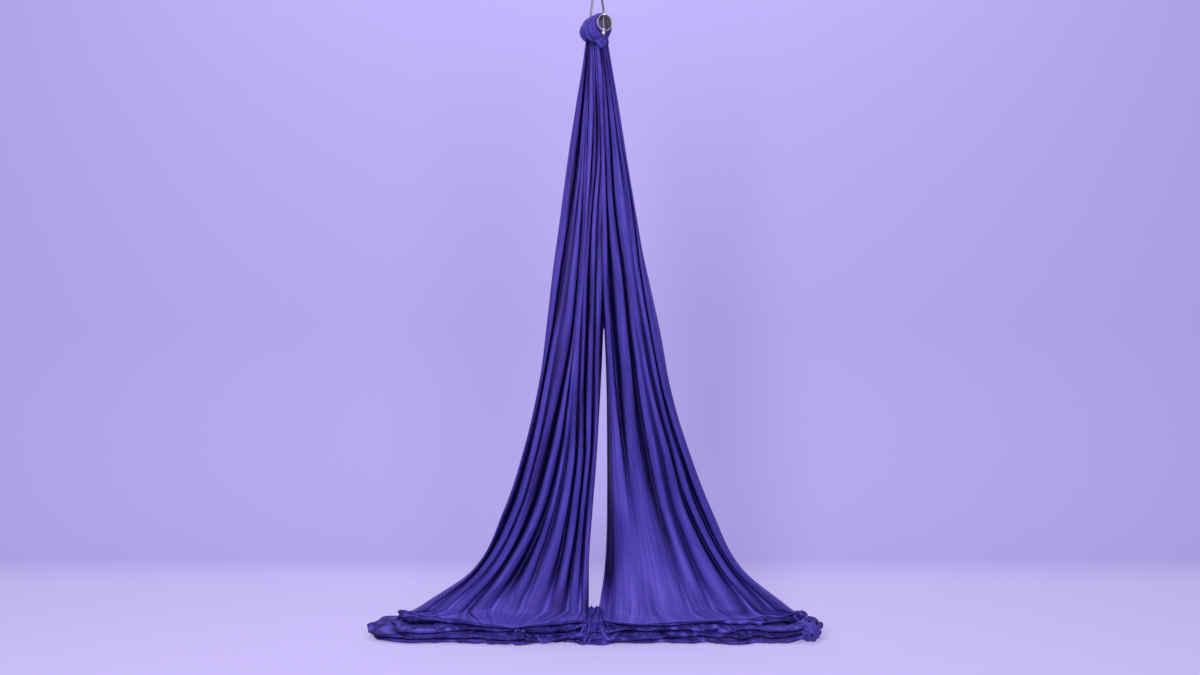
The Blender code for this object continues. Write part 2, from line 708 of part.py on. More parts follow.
def make_swivel_bow(hanger):
    """The swivel's lower half: a boss, and a closed bow under it that stands across the bail."""
    boss_middle = (BOSS_TOP + BOSS_BOTTOM) / 2
    shoulder_x = BOW_HALF_WIDTH - BOW_SHOULDER_RADIUS
    shoulder_z = boss_middle - BOW_SHOULDER_RADIUS
    path = [(0, 0, boss_middle)]
    path += arc((shoulder_x, shoulder_z), BOW_SHOULDER_RADIUS, 90, 0, 5)
    path += arc((0, BOW_BOTTOM + BOW_HALF_WIDTH), BOW_HALF_WIDTH, 0, -180, 12)
    path += arc((-shoulder_x, shoulder_z), BOW_SHOULDER_RADIUS, 180, 90, 5)
    bow = mesh_of(bar("swivel_bow", across(path), BOW_BAR_RADIUS, cyclic=True))
    place(bow, POLISHED, hanger)
    fuse(bow, cylinder("bow_boss", BOSS_RADIUS, BOSS_BOTTOM, BOSS_TOP, sides=32))
    low = BOSS_BOTTOM - CUT_OVERRUN
    high = BOSS_TOP + CUT_OVERRUN
    cut(bow, cylinder("bow_shaft_hole", SHAFT_RADIUS + RUNNING_GAP, low, high))


def make_swivel_fasteners(rig):
    hole = SHAFT_RADIUS + THREAD_CLEARANCE
    washer = plate(
        "swivel_washer",
        [circle(SWIVEL_WASHER_RADIUS), circle(hole)],
        SWIVEL_WASHER_TOP - SWIVEL_WASHER_THICKNESS,
        SWIVEL_WASHER_TOP,
    )
    place(washer, PLATED, rig, washer.location)
    sizes = (SWIVEL_NUT_ACROSS_FLATS, SWIVEL_NUT_BOTTOM, SWIVEL_NUT_TOP)
    make_nut("swivel_nut", rig, sizes, hole)


def make_nut(name, parent, sizes, bore, at=(0, 0)):
    """A hexagon nut, whose corners a double cone cuts back. sizes: across flats, bottom, top."""
    across_flats, bottom, top = sizes
    hexagon = circle(corner_radius(across_flats), sides=6)
    nut = mesh_of(plate(name, [hexagon, circle(bore)], bottom, top))
    place(nut, PLATED, parent, (*at, 0))
    flat = across_flats / 2
    middle = (bottom + top) / 2
    wide = flat + (top - middle) / math.tan(NUT_CHAMFER_ANGLE)
    profile = [(0, top), (flat, top), (wide, middle), (flat, bottom), (0, bottom)]
    cones = turned(f"{name}_cones", profile, steps=24, closed=False)
    cones.location = (*at, 0)
    combine(nut, [cones], "INTERSECT")


# Bail and hanger tube


def bail_half_path():
    """The bail's centreline from its top to one foot: top bend, slanting leg, knee, foot."""
    bend_centre = BAIL_TOP - BAIL_BEND_RADIUS
    knee = Vector((BAIL_HALF_SPAN, TUBE_HEIGHT + BAIL_KNEE_HEIGHT))
    reach = knee - Vector((0, bend_centre))
    tangent = math.atan2(reach.y, reach.x) + math.acos(BAIL_BEND_RADIUS / reach.length)
    points = arc((0, bend_centre), BAIL_BEND_RADIUS, 90, math.degrees(tangent), 6)
    start = Vector((points[-1][0], points[-1][2]))
    slant = (knee - start).normalized()
    turn = math.atan2(slant.x, -slant.y)
    bend_start = knee - slant * BAIL_BEND_RADIUS * math.tan(turn / 2)
    centre = bend_start - BAIL_BEND_RADIUS * Vector((math.cos(turn), math.sin(turn)))
    points += arc(centre, BAIL_BEND_RADIUS, math.degrees(turn), 0, 3)
    return points + [(BAIL_HALF_SPAN, 0, BAIL_FOOT)]


def make_bail(hanger):
    half = bail_half_path()
    other_half = [(-x, y, z) for x, y, z in half[:0:-1]]
    bail = bar("bail", [*other_half, *half], BAIL_BAR_RADIUS, resolution=4)
    place(bail, BAR_STEEL, hanger)


def make_hanger_tube(hanger):
    """The tube, with a rounded lip at each mouth and two holes for each leg of the bail."""
    lip = TUBE_RADIUS + LIP_HEIGHT
    end = TUBE_LENGTH / 2
    edge = TUBE_WALL / 2
    half_profile = [
        (TUBE_BORE, end - edge),
        (TUBE_BORE + edge, end),
        (lip - edge, end),
        (lip, end - edge),
        (lip, end - LIP_LENGTH),
        (TUBE_RADIUS, end - LIP_LENGTH - LIP_HEIGHT),
    ]
    other_half = [(radius, -height) for radius, height in reversed(half_profile)]
    tube = turned("hanger_tube", half_profile + other_half)
    place(tube, POLISHED, hanger, (0, 0, TUBE_HEIGHT))
    tube.rotation_euler.y = math.pi / 2
    low = TUBE_BOTTOM - CUT_OVERRUN
    high = TUBE_HEIGHT + TUBE_RADIUS + CUT_OVERRUN
    for side, name in ((RIGHT, "front_leg_holes"), (LEFT, "rear_leg_holes")):
        at = (side * BAIL_HALF_SPAN, 0)
        cut(tube, cylinder(name, LEG_HOLE_RADIUS, low, high, at=at))


def make_inner_nut(hanger, end_name, at):
    """The nut inside the tube, which stands on its lower wall."""
    rise = drop_at(TUBE_BORE, corner_radius(LEG_NUT_ACROSS_FLATS))
    bottom = TUBE_HEIGHT - TUBE_BORE + rise + SEAT_GAP
    sizes = (LEG_NUT_ACROSS_FLATS, bottom, bottom + INNER_NUT_HEIGHT)
    make_nut(f"{end_name}_inner_nut", hanger, sizes, LEG_HOLE_RADIUS, at)


def make_saddle_washer(hanger, end_name, at):
    """A washer under the tube, hollowed on top to fit it."""
    top = TUBE_BOTTOM + drop_at(TUBE_RADIUS, SADDLE_RADIUS)
    name = f"{end_name}_saddle_washer"
    saddle = cylinder(name, SADDLE_RADIUS, SADDLE_BOTTOM, top, at=at)
    place(saddle, PLATED, hanger)
    tube_form = cylinder(
        f"{end_name}_saddle_form",
        TUBE_RADIUS + SEAT_GAP,
        at[0] - SADDLE_RADIUS - CUT_OVERRUN,
        at[0] + SADDLE_RADIUS + CUT_OVERRUN,
        axis="X",
        at=(0, TUBE_HEIGHT),
        sides=72,
    )
    low = SADDLE_BOTTOM - CUT_OVERRUN
    high = top + CUT_OVERRUN
    cut(saddle, tube_form, cylinder(f"{name}_hole", LEG_HOLE_RADIUS, low, high, at=at))


def make_dome_nut(hanger, end_name, at):
    """The domed nut that closes a leg's end under the saddle washer."""
    name = f"{end_name}_dome_nut"
    hexagon = circle(corner_radius(LEG_NUT_ACROSS_FLATS), at, sides=6)
    nut = mesh_of(plate(name, [hexagon], DOME_NUT_HEX_BOTTOM, DOME_NUT_TOP))
    place(nut, PLATED, hanger)
    fuse(nut, ball(f"{end_name}_dome", DOME_NUT_CROWN, (*at, DOME_NUT_HEX_BOTTOM), 11, 20))
    low = BAIL_FOOT - SEAT_GAP
    high = DOME_NUT_TOP + CUT_OVERRUN
    cut(nut, cylinder(f"{name}_hole", LEG_HOLE_RADIUS, low, high, at=at))


# Cloth


def make_hitch_loop(hanger):
    """The cloth wound round the tube between the bail's legs, with rounded ends."""
    half_length = BAIL_HALF_SPAN - SADDLE_RADIUS - HITCH_NUT_GAP
    end_radius = HITCH_THICKNESS / 2
    middle = TUBE_RADIUS + SEAT_GAP + end_radius
    end = half_length - end_radius
    profile = [(x, z) for x, _, z in arc((middle, end), end_radius, 180, 0, 5)]
    profile += [(x, z) for x, _, z in arc((middle, -end), end_radius, 0, -180, 5)]
    loop = turned("hitch_loop", profile, steps=28)
    place(loop, CLOTH, hanger, (0, 0, TUBE_HEIGHT))
    loop.rotation_euler.y = math.pi / 2


def make_hitch_band(silks):
    """The band of cloth that draws both tails together under the tube."""
    top_shares = ((0, 1), (0.5, 1), (0.93, 0.92), (1, 0.78))
    bottom_shares = ((1, 0.14), (0.8, 0.04), (0.4, 0), (0, 0))
    profile = []
    for radius, shares in ((BAND_TOP_RADIUS, top_shares), (BAND_BOTTOM_RADIUS, bottom_shares)):
        for out, up in shares:
            reach = BAND_HOLE_RADIUS + (radius - BAND_HOLE_RADIUS) * out
            profile.append((reach, BAND_BOTTOM + BAND_HEIGHT * up))
    band = turned("hitch_band", profile)
    place(band, CLOTH, silks)
    band.scale.y = BAND_DEPTH_SHARE


def sheet_ring(side, inner, outer, height, pleat, front=0, rear=0):
    """One level of a tail: out along its front and back along its rear, with its pleats."""
    front_line, rear_line = [], []
    for station in range(TAIL_STATIONS + 1):
        u = station / TAIL_STATIONS
        x = inner + (outer - inner) * u
        wave = pleat * math.sin(math.tau * PLEATS * u + side)
        rounding = math.sqrt(1 - 0.9 * (2 * u - 1) ** 8)
        front_line.append((x, wave - (TAIL_THICKNESS / 2 + front) * rounding, height))
        rear_line.append((x, wave + (TAIL_THICKNESS / 2 + rear) * rounding, height))
    return front_line + rear_line[::-1]


def band_ring(side, height):
    """A tail's level inside the band: half of the band's oval hole."""
    hole = BAND_HOLE_RADIUS - TAIL_IN_BAND_GAP
    front_line, rear_line = [], []
    for station in range(TAIL_STATIONS + 1):
        angle = math.pi / 2 * (1 - station / TAIL_STATIONS)
        x = side * (SEAT_GAP / 2 + (hole - SEAT_GAP / 2) * math.cos(angle))
        half = max(hole * BAND_DEPTH_SHARE * math.sin(angle), TAIL_IN_BAND_GAP)
        front_line.append((x, -half, height))
        rear_line.append((x, half, height))
    return front_line + rear_line[::-1]


def make_tail(silks, side, name):
    """One tail: a pleated band of cloth that widens downwards, and its rolls on the floor."""
    is_right = side == RIGHT
    top = BAND_BOTTOM - SEAT_GAP
    foot_inner = SLIT_SHARES[-1][1] * TAIL_WIDTH + side * SEAT_GAP
    sections = []
    for row in reversed(FOOT_SHARES):
        height = FLOOR + FOOT_HEIGHT * row[0]
        outer = side * row[2 + is_right] * TAIL_WIDTH
        front = (FOOT_FRONT - TAIL_THICKNESS / 2) * row[1]
        rear = (FOOT_REAR - TAIL_THICKNESS / 2) * row[1]
        sections.append(sheet_ring(side, foot_inner, outer, height, PLEAT_DEPTH, front, rear))
    levels = sorted({row[0] for row in EDGE_SHARES + SLIT_SHARES})
    for share in levels[:-1]:
        middle = table_value(SLIT_SHARES, share, 1) * TAIL_WIDTH
        half_slit = table_value(SLIT_SHARES, share, 2) * SLIT_HALF_WIDTH
        inner = middle + side * max(half_slit, SEAT_GAP / 2)
        outer = side * table_value(EDGE_SHARES, share, 1 + is_right) * TAIL_WIDTH
        pleat = min(PLEAT_DEPTH, abs(outer - inner) / PLEATS)
        height = FOOT_TOP + (top - FOOT_TOP) * share
        sections.append(sheet_ring(side, inner, outer, height, pleat))
    sections.append(band_ring(side, top))
    sections.append(band_ring(side, BAND_TOP))
    place(loft(name, sections), CLOTH, silks)


def main():
    rig = new_empty("rig")
    hinge = new_empty("gate_hinge", (LINK_HALF_WIDTH, 0, LINK_LOWER_CENTRE), rig)
    silks = new_empty("silks", parent=rig)
    hanger = new_empty("hanger", parent=silks, turn=HANGER_HEADING)

    make_ceiling_plate(rig)
    make_anchor_staple(rig)
    make_carabiner_body(rig)
    make_gate_pin(rig)
    make_gate(hinge)
    make_gate_spring(hinge)
    make_locking_sleeve(hinge)
    make_swivel_eye(rig)
    make_races(rig, silks)
    make_balls(silks)
    make_bearing_shield(silks)
    make_swivel_bow(hanger)
    make_swivel_fasteners(rig)
    make_bail(hanger)
    make_hanger_tube(hanger)
    for side, end_name in ((RIGHT, "front"), (LEFT, "rear")):
        at = (side * BAIL_HALF_SPAN, 0)
        make_inner_nut(hanger, end_name, at)
        make_saddle_washer(hanger, end_name, at)
        make_dome_nut(hanger, end_name, at)
    make_hitch_loop(hanger)
    make_hitch_band(silks)
    make_tail(silks, LEFT, "left_tail")
    make_tail(silks, RIGHT, "right_tail")


main()
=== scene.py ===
import json
import math

import bpy
import numpy as np
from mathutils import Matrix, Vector


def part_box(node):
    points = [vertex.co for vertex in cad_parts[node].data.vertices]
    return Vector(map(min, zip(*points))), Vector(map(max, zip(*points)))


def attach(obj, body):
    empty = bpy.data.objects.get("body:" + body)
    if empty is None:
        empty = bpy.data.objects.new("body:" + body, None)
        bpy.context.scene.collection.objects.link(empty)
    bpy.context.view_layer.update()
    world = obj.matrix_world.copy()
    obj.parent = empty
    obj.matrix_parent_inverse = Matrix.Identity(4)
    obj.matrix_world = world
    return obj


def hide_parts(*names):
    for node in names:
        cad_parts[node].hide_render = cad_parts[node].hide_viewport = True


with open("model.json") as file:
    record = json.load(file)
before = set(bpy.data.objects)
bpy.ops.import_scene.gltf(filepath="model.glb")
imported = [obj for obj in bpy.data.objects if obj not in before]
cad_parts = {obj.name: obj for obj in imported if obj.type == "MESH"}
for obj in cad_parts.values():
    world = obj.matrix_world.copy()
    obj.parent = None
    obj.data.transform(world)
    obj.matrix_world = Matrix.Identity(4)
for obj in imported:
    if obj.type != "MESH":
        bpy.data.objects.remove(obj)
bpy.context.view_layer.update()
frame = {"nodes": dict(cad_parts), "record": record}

# The photograph: scale at the silks, the picture's width, and the camera that took it
METRES_PER_PIXEL = 0.0045
PICTURE_WIDTH = 1200
SILKS_CENTRE_PX = 597
HORIZON_PX = 337
EYE_HEIGHT = 1.34
CAMERA_DISTANCE = 5.8
SENSOR_WIDTH = 36

LEFT, RIGHT = -1, 1
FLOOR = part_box("left_tail")[0].z
TUBE_LOW, TUBE_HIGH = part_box("hanger_tube")
TUBE_HEIGHT = (TUBE_LOW.z + TUBE_HIGH.z) / 2
TUBE_HEADING = math.radians(-64)
TUBE_RADIUS = 0.036
# How far cloth lies above the floor or the tube that it rests on
ABOVE = 0.0015

# Each tail's flat cloth
CLOTH_WIDTH = 1.5


def from_left(px):
    return (px - SILKS_CENTRE_PX) * METRES_PER_PIXEL


def from_floor(py):
    return EYE_HEIGHT + (HORIZON_PX - py) * METRES_PER_PIXEL


# The lines between the folds of each tail, in pixels across the photograph: a row for each line,
# from the tail's inner edge over its valleys to its outer edge, with its place at each height in
# FOLD_ROWS. The depths are those of the same lines, in metres.
FOLD_ROWS = (35, 100, 150, 210, 270, 330, 390, 450, 510, 570, 606)
LEFT_FOLDS = (
    (598, 605, 606, 606, 606, 603.5, 600.5, 597, 592.5, 589, 589),
    (596, 600, 601, 598, 596, 595.5, 594, 592, 586.5, 582, 580),
    (594, 596, 597, 592, 588, 586, 584, 585, 580, 572, 568),
    (592.5, 594, 592, 588, 584, 581, 578, 576, 568, 557, 546),
    (591.5, 591, 589, 586, 582, 577.5, 574, 567, 555, 535, 521),
    (590.5, 589, 587, 585, 580.5, 576, 569, 562, 547, 519, 494),
    (590, 587, 585, 583, 578.5, 573, 563, 551, 534, 500, 468),
    (589.5, 585.5, 582.5, 577, 570, 561, 550, 537, 520, 487, 450),
    (589, 584, 580, 572, 563, 554, 542, 527, 508, 475, 432),
    (586, 576.5, 569, 561, 553, 546, 537, 523, 503, 471, 420),
)
LEFT_DEPTHS = (0, 0.018, 0.037, 0.022, 0.013, 0.027, 0.039, 0.015, 0.028, 0)
RIGHT_FOLDS = (
    (596, 598.5, 600, 601, 602, 604.5, 606.5, 607, 607, 604.5, 599),
    (599, 603, 605, 607, 608.5, 612, 617, 624, 632, 640, 645),
    (601, 608, 612, 616, 623, 629, 637, 647, 660, 677, 690),
    (602.5, 610, 615.5, 622, 629.5, 637, 647, 660, 673, 695, 713),
    (604, 612.5, 619, 627, 634, 643, 654, 671, 689, 721, 750),
    (605.3, 615, 623, 633, 640, 650, 662, 679, 700, 734, 770),
    (607, 618, 626, 636, 647, 660, 671, 689, 712, 744, 788),
)
RIGHT_DEPTHS = (0, 0.034, 0.038, 0.016, 0.034, 0.036, 0)
# A row for each valley: how much of its depth it has at the heights in FADE_ROWS
FADE_ROWS = (35, 120, 250, 360, 460, 540, 606)
LEFT_FADES = (
    (0.7, 0.6, 0.5, 1.0, 1.0, 1.0, 1.0),
    (0.5, 0.4, 0.7, 1.0, 1.0, 1.0, 1.0),
    (0.9, 0.8, 0.1, 0.6, 1.0, 1.0, 1.0),
    (0.1, 0.1, 0.1, 0.3, 1.0, 1.0, 1.0),
    (0.1, 0.2, 0.1, 0.5, 1.0, 1.0, 1.0),
    (0.9, 0.9, 1.2, 1.2, 1.0, 1.0, 1.0),
    (0.2, 0.7, 0.4, 0.6, 1.0, 1.0, 1.0),
    (1.0, 0.9, 0.8, 1.0, 1.0, 1.0, 1.0),
)
RIGHT_FADES = (
    (1.0, 0.8, 1.0, 1.0, 0.45, 0.12, 0.08),
    (0.7, 1.0, 1.0, 1.0, 0.8, 0.35, 0.2),
    (0.3, 0.2, 0.1, 0.4, 1.0, 1.0, 1.0),
    (0.3, 0.3, 0.2, 0.6, 1.0, 1.0, 1.0),
    (0.3, 0.2, 0.5, 0.8, 1.0, 1.0, 1.0),
)
LEFT_TABLES = (LEFT_FOLDS, LEFT_DEPTHS, LEFT_FADES)
RIGHT_TABLES = (RIGHT_FOLDS, RIGHT_DEPTHS, RIGHT_FADES)


def noise(across, along, seed):
    """Smooth noise from -1 to 1, with one step of its lattice per unit."""
    grid = np.random.RandomState(seed).uniform(-1, 1, (64, 64))
    i, j = np.floor(across).astype(int), np.floor(along).astype(int)
    s, t = across - i, along - j
    s, t = s * s * s * (s * (6 * s - 15) + 10), t * t * t * (t * (6 * t - 15) + 10)
    low = grid[i % 64, j % 64] * (1 - s) + grid[(i + 1) % 64, j % 64] * s
    high = grid[i % 64, (j + 1) % 64] * (1 - s) + grid[(i + 1) % 64, (j + 1) % 64] * s
    return low * (1 - t) + high * t


def ramp(value, start, end):
    """0 before start, 1 after end, and smooth between them."""
    t = np.clip((value - start) / (end - start), 0, 1)
    return t * t * (3 - 2 * t)


def hump(value, middle, width):
    """1 at the middle, falling away smoothly on both sides of it."""
    return np.exp(-(((value - middle) / width) ** 2))


def smooth_curve(at, knots, values):
    """Cubic interpolation between knots with no overshoot, for one or more columns of values."""
    knots, values = np.asarray(knots, float), np.asarray(values, float)
    shape = (-1,) + (1,) * (values.ndim - 1)
    step = np.diff(knots).reshape(shape)
    slope = np.diff(values, axis=0) / step
    least = 3 * np.minimum(abs(slope[:-1]), abs(slope[1:]))
    inner = np.clip((slope[:-1] + slope[1:]) / 2, -least, least)
    inner = np.where(slope[:-1] * slope[1:] <= 0, 0, inner)
    tangent = np.concatenate([slope[:1], inner, slope[-1:]])
    k = np.clip(np.searchsorted(knots, at, side="right") - 1, 0, len(step) - 1)
    h = step[k]
    t = ((at - knots[k]).reshape(shape)) / h
    return (
        values[k] * (2 * t**3 - 3 * t**2 + 1)
        + values[k + 1] * (3 * t**2 - 2 * t**3)
        + tangent[k] * h * (t**3 - 2 * t**2 + t)
        + tangent[k + 1] * h * (t**3 - t**2)
    )


def running_sum(values, step):
    """The integral along each row."""
    halves = (values[:, 1:] + values[:, :-1]) / 2 * step
    return np.concatenate([np.zeros((len(values), 1)), np.cumsum(halves, axis=1)], axis=1)


def bend_shapes():
    """S-curves from a ridge to the next valley, from nearly flat to folded over.

    Each is as a hanging cloth bends, its slope a sine along it. They are returned as the ratio
    of depth to width, and the curve's own way across and down as shares of the whole."""
    steepest = np.linspace(0.05, 2.1, 84)
    along = np.linspace(0, 1, 49)
    angle = steepest[:, None] * np.sin(math.pi * along)
    across = running_sum(np.cos(angle), along[1])
    deep = running_sum(np.sin(angle), along[1])
    return deep[:, -1] / across[:, -1], across / across[:, -1:], deep / deep[:, -1:]


BEND_RATIOS, BEND_ACROSS, BEND_DEEP = bend_shapes()
# How much flatter a curve lies at its ridge, and how far it may reach out beyond its two lines,
# as a share of the distance between them
FACE_SHARE = 1.6
OVERHANG = 0.3


def bend(x0, y0, x1, y1, count, ridge=0):
    """Points of the S-curve between two lines of a fold, one row for each height.

    The curve lies flatter at the ridge, which is its start for 1 and its end for -1."""
    ratio = abs(y1 - y0) / np.maximum(abs(x1 - x0), 1e-5)
    place = np.interp(ratio, BEND_RATIOS, np.arange(len(BEND_RATIOS)))[:, None]
    low = np.clip(np.floor(place).astype(int), 0, len(BEND_RATIOS) - 2)
    share = place - low
    at = np.arange(count)[None, :] / count * (BEND_ACROSS.shape[1] - 1)
    k = np.floor(at).astype(int)
    rest = at - k

    def sample(table):
        first = table[low, k] * (1 - rest) + table[low, k + 1] * rest
        second = table[low + 1, k] * (1 - rest) + table[low + 1, k + 1] * rest
        return first * (1 - share) + second * share

    across = np.clip(sample(BEND_ACROSS), -OVERHANG, 1 + OVERHANG)
    if ridge > 0:
        across = across * (1 + FACE_SHARE) / (1 + FACE_SHARE * across)
    if ridge < 0:
        across = 1 - (1 - across) * (1 + FACE_SHARE) / (1 + FACE_SHARE * (1 - across))
    x = x0[:, None] + (x1 - x0)[:, None] * across
    y = y0[:, None] + (y1 - y0)[:, None] * sample(BEND_DEEP)
    return x, y


def sheet_object(name, points, uv, shader):
    """A grid of points (rows, columns, 3) as a smooth mesh with its cloth coordinates as UVs."""
    rows, columns = points.shape[:2]
    index = np.arange(rows * columns).reshape(rows, columns)
    right, index = index[:, 1:], index[:, :-1]
    quads = np.stack([index[:-1], right[:-1], right[1:], index[1:]], axis=-1).reshape(-1, 4)
    mesh = bpy.data.meshes.new(name)
    mesh.from_pydata(points.reshape(-1, 3).tolist(), [], quads.tolist())
    layer = mesh.uv_layers.new(name="cloth")
    corners = np.zeros(len(mesh.loops), int)
    mesh.loops.foreach_get("vertex_index", corners)
    layer.data.foreach_set("uv", uv.reshape(-1, 2)[corners].ravel())
    mesh.materials.append(shader.material)
    mesh.shade_smooth()
    piece = bpy.data.objects.new(name, mesh)
    bpy.context.scene.collection.objects.link(piece)
    return piece


# The depth of a full cavity, at which the painted fold shade is darkest, and how many points on each
# side of one are averaged to find it, along the rows and across them
FULL_CAVITY = 0.0035
CAVITY_SPANS = ((1, 5), (0, 2))


def cavities(sheet):
    """How far each point lies in a fold's valley, from -1 on its ridges to 1."""
    around = sheet
    for axis, span in CAVITY_SPANS:
        kernel = np.hanning(2 * span + 3)[1:-1]
        kernel /= kernel.sum()
        wide = [(span, span) if i == axis else (0, 0) for i in range(3)]
        padded = np.pad(around, wide, mode="edge")
        count = sheet.shape[axis]
        shifted = [np.take(padded, np.arange(i, i + count), axis) for i in range(len(kernel))]
        around = sum(weight * points for weight, points in zip(kernel, shifted))
    normal = np.cross(np.gradient(sheet, axis=1), np.gradient(sheet, axis=0))
    normal /= np.maximum(np.linalg.norm(normal, axis=-1, keepdims=True), 1e-12)
    return np.clip(((around - sheet) * normal).sum(axis=-1) / FULL_CAVITY, -1, 1)


# Painted shade: loose cloth gets less of it than hung cloth, whose painted valley shade counts for
# more than its cavities. One goes over into the other in the last rows of the hung cloth.
LOOSE_LESS_SHADE, HUNG_MORE_SHADE = 0.35, 0.1
HUNG_SHARE = 0.6
BLEND_ROWS = 12


def cloth_object(name, points, uv, outside=1, painted_shading=None):
    """A sheet with shade painted from the depth of its folds kept beside its coordinates.

    Its first rows may bring their own painted shade, which is blended into that of the rest."""
    piece = sheet_object(name, points, uv, TRICOT)
    # The painted shade: dark in the folds' cavities and lighter on their ridges, with less of it on
    # loose cloth
    depth = outside * cavities(points) - LOOSE_LESS_SHADE
    if painted_shading is not None:
        rows = np.arange(len(points))
        hung = 1 - ramp(rows, len(painted_shading) - BLEND_ROWS, len(painted_shading))[:, None]
        below = np.repeat(painted_shading[-1:], len(points) - len(painted_shading), axis=0)
        hung_shade = np.concatenate([painted_shading, below]) + HUNG_MORE_SHADE
        depth = hung * hung_shade + depth * (1 - HUNG_SHARE * hung)
    # The painted shade is kept as an attribute, which the cloth's colour reads
    painted_shade = piece.data.attributes.new("painted_shade", "FLOAT", "POINT")
    painted_shade.data.foreach_set("value", np.clip(depth, -1, 1).ravel())
    return piece


# Materials


class Shader:
    """A node material that is built step by step."""

    def __init__(self, name):
        self.material = bpy.data.materials.new(name)
        self.material.use_nodes = True
        self.tree = self.material.node_tree
        self.bsdf = self.tree.nodes["Principled BSDF"]

    def node(self, kind, **values):
        made = self.tree.nodes.new(kind)
        for key, value in values.items():
            if hasattr(made, key):
                setattr(made, key, value)
            else:
                made.inputs[key.replace("_", " ")].default_value = value
        return made

    def link(self, output, target):
        self.tree.links.new(output, target)

    def feed(self, channel, output):
        self.link(output, self.bsdf.inputs[channel])

    def set(self, **values):
        for key, value in values.items():
            self.bsdf.inputs[key.replace("_", " ")].default_value = value

    def coordinates(self, source, scale):
        place = self.node("ShaderNodeTexCoord")
        mapping = self.node("ShaderNodeMapping", Scale=scale)
        self.link(place.outputs[source], mapping.inputs["Vector"])
        return mapping.outputs["Vector"]

    def noise(self, source, scale, detail=3.0, roughness=0.5):
        texture = self.node("ShaderNodeTexNoise", Scale=1.0, Detail=detail, Roughness=roughness)
        self.link(self.coordinates(source, scale), texture.inputs["Vector"])
        return texture.outputs["Fac"]

    def colours(self, factor, stops):
        made = self.node("ShaderNodeValToRGB")
        elements = made.color_ramp.elements
        elements.remove(elements[1])
        for i, (position, colour) in enumerate(stops):
            element = elements[0] if i == 0 else elements.new(position)
            element.position = position
            element.color = (*colour, 1)
        self.link(factor, made.inputs["Fac"])
        return made.outputs["Color"]

    def levels(self, factor, low, high, start=0.0, end=1.0):
        ends = {"From_Min": start, "From_Max": end, "To_Min": low, "To_Max": high}
        made = self.node("ShaderNodeMapRange", **ends)
        self.link(factor, made.inputs["Value"])
        return made.outputs["Result"]

    def bump(self, height, strength, distance, under=None):
        made = self.node("ShaderNodeBump", Strength=strength, Distance=distance)
        self.link(height, made.inputs["Height"])
        if under is not None:
            self.link(under, made.inputs["Normal"])
        return made.outputs["Normal"]


# Violet, painted from the shade at the bottom of a deep valley to the highlight on a bright ridge
TRICOT_SHADE_COLOURS = (
    (0.05, (0.0008, 0.0004, 0.020)),
    (0.46, (0.037, 0.024, 0.222)),
    (0.90, (0.112, 0.080, 0.470)),
)


def satin_tricot():
    """Violet tricot: satin on its face, with fine ribs along the cloth and soft creases, and the shade
    and highlight of its folds painted into its colour.
    """
    shader = Shader("violet_satin_tricot")
    patches = shader.levels(shader.noise("UV", (24.0, 1.8, 1.0), detail=4.0), -0.28, 0.28)
    # The colour is painted shade: the fold shade kept on each point, with patches of tone and the
    # painted shade of fine crinkles added
    fold = shader.node("ShaderNodeAttribute", attribute_name="painted_shade")
    fold_shade_level = shader.levels(fold.outputs["Fac"], 0.85, 0.0, -1.0, 1.0)
    # Fine streaks along the cloth: the shade of small crinkles, painted into the colour
    crinkle_shade = shader.noise("UV", (120.0, 2.4, 1.0), detail=5.0, roughness=0.65)
    shade = fold_shade_level
    for part in (patches, shader.levels(crinkle_shade, -0.35, 0.35)):
        mixed = shader.node("ShaderNodeMath", operation="ADD")
        shader.link(shade, mixed.inputs[0])
        shader.link(part, mixed.inputs[1])
        shade = mixed.outputs["Value"]
    shader.feed("Base Color", shader.colours(shade, TRICOT_SHADE_COLOURS))
    rough = shader.levels(shader.noise("UV", (30.0, 6.0, 1.0)), 0.34, 0.50)
    shader.feed("Roughness", rough)
    creases = shader.noise("UV", (70.0, 6.0, 1.0), detail=6.0, roughness=0.62)
    soft = shader.bump(creases, 0.8, 0.008)
    ribs = shader.node("ShaderNodeTexWave", Scale=1.0, Distortion=1.5, Detail=2.0)
    ribs.wave_type, ribs.bands_direction = "BANDS", "X"
    shader.link(shader.coordinates("UV", (260.0, 30.0, 1.0)), ribs.inputs["Vector"])
    shader.feed("Normal", shader.bump(ribs.outputs["Fac"], 0.10, 0.0004, soft))
    shader.set(Specular_IOR_Level=0.55, Specular_Tint=(0.34, 0.26, 1.0, 1.0))
    return shader


# How fine the steels' grain is along each axis: turned, drawn, forged and plated
TURNED, DRAWN, FORGING, PLATING = (90, 90, 900), (40, 40, 40), (300, 300, 300), (400, 400, 400)


def steel(name, colour, dark, roughness, grain, streaks):
    """Bare or plated steel: faint smudges, and grain in its gloss and its surface."""
    shader = Shader(name)
    smudge = shader.noise("Object", (55.0, 55.0, 55.0), detail=4.0)
    shader.feed("Base Color", shader.colours(smudge, ((0.3, dark), (0.55, colour), (0.8, colour))))
    lines = shader.noise("Object", streaks, detail=3.0)
    shader.feed("Roughness", shader.levels(lines, roughness - grain, roughness + grain))
    shader.feed("Normal", shader.bump(lines, 0.12, 0.0003))
    shader.set(Metallic=1.0)
    return shader


# The gradient is 1 on the tube's axis and 0.5 at its outer radius, and hardly falls along it.
BORE_START, BORE_END = 0.512, 0.530
BORE_ROUGHNESS = 0.55
FAR_ALONG = 1000


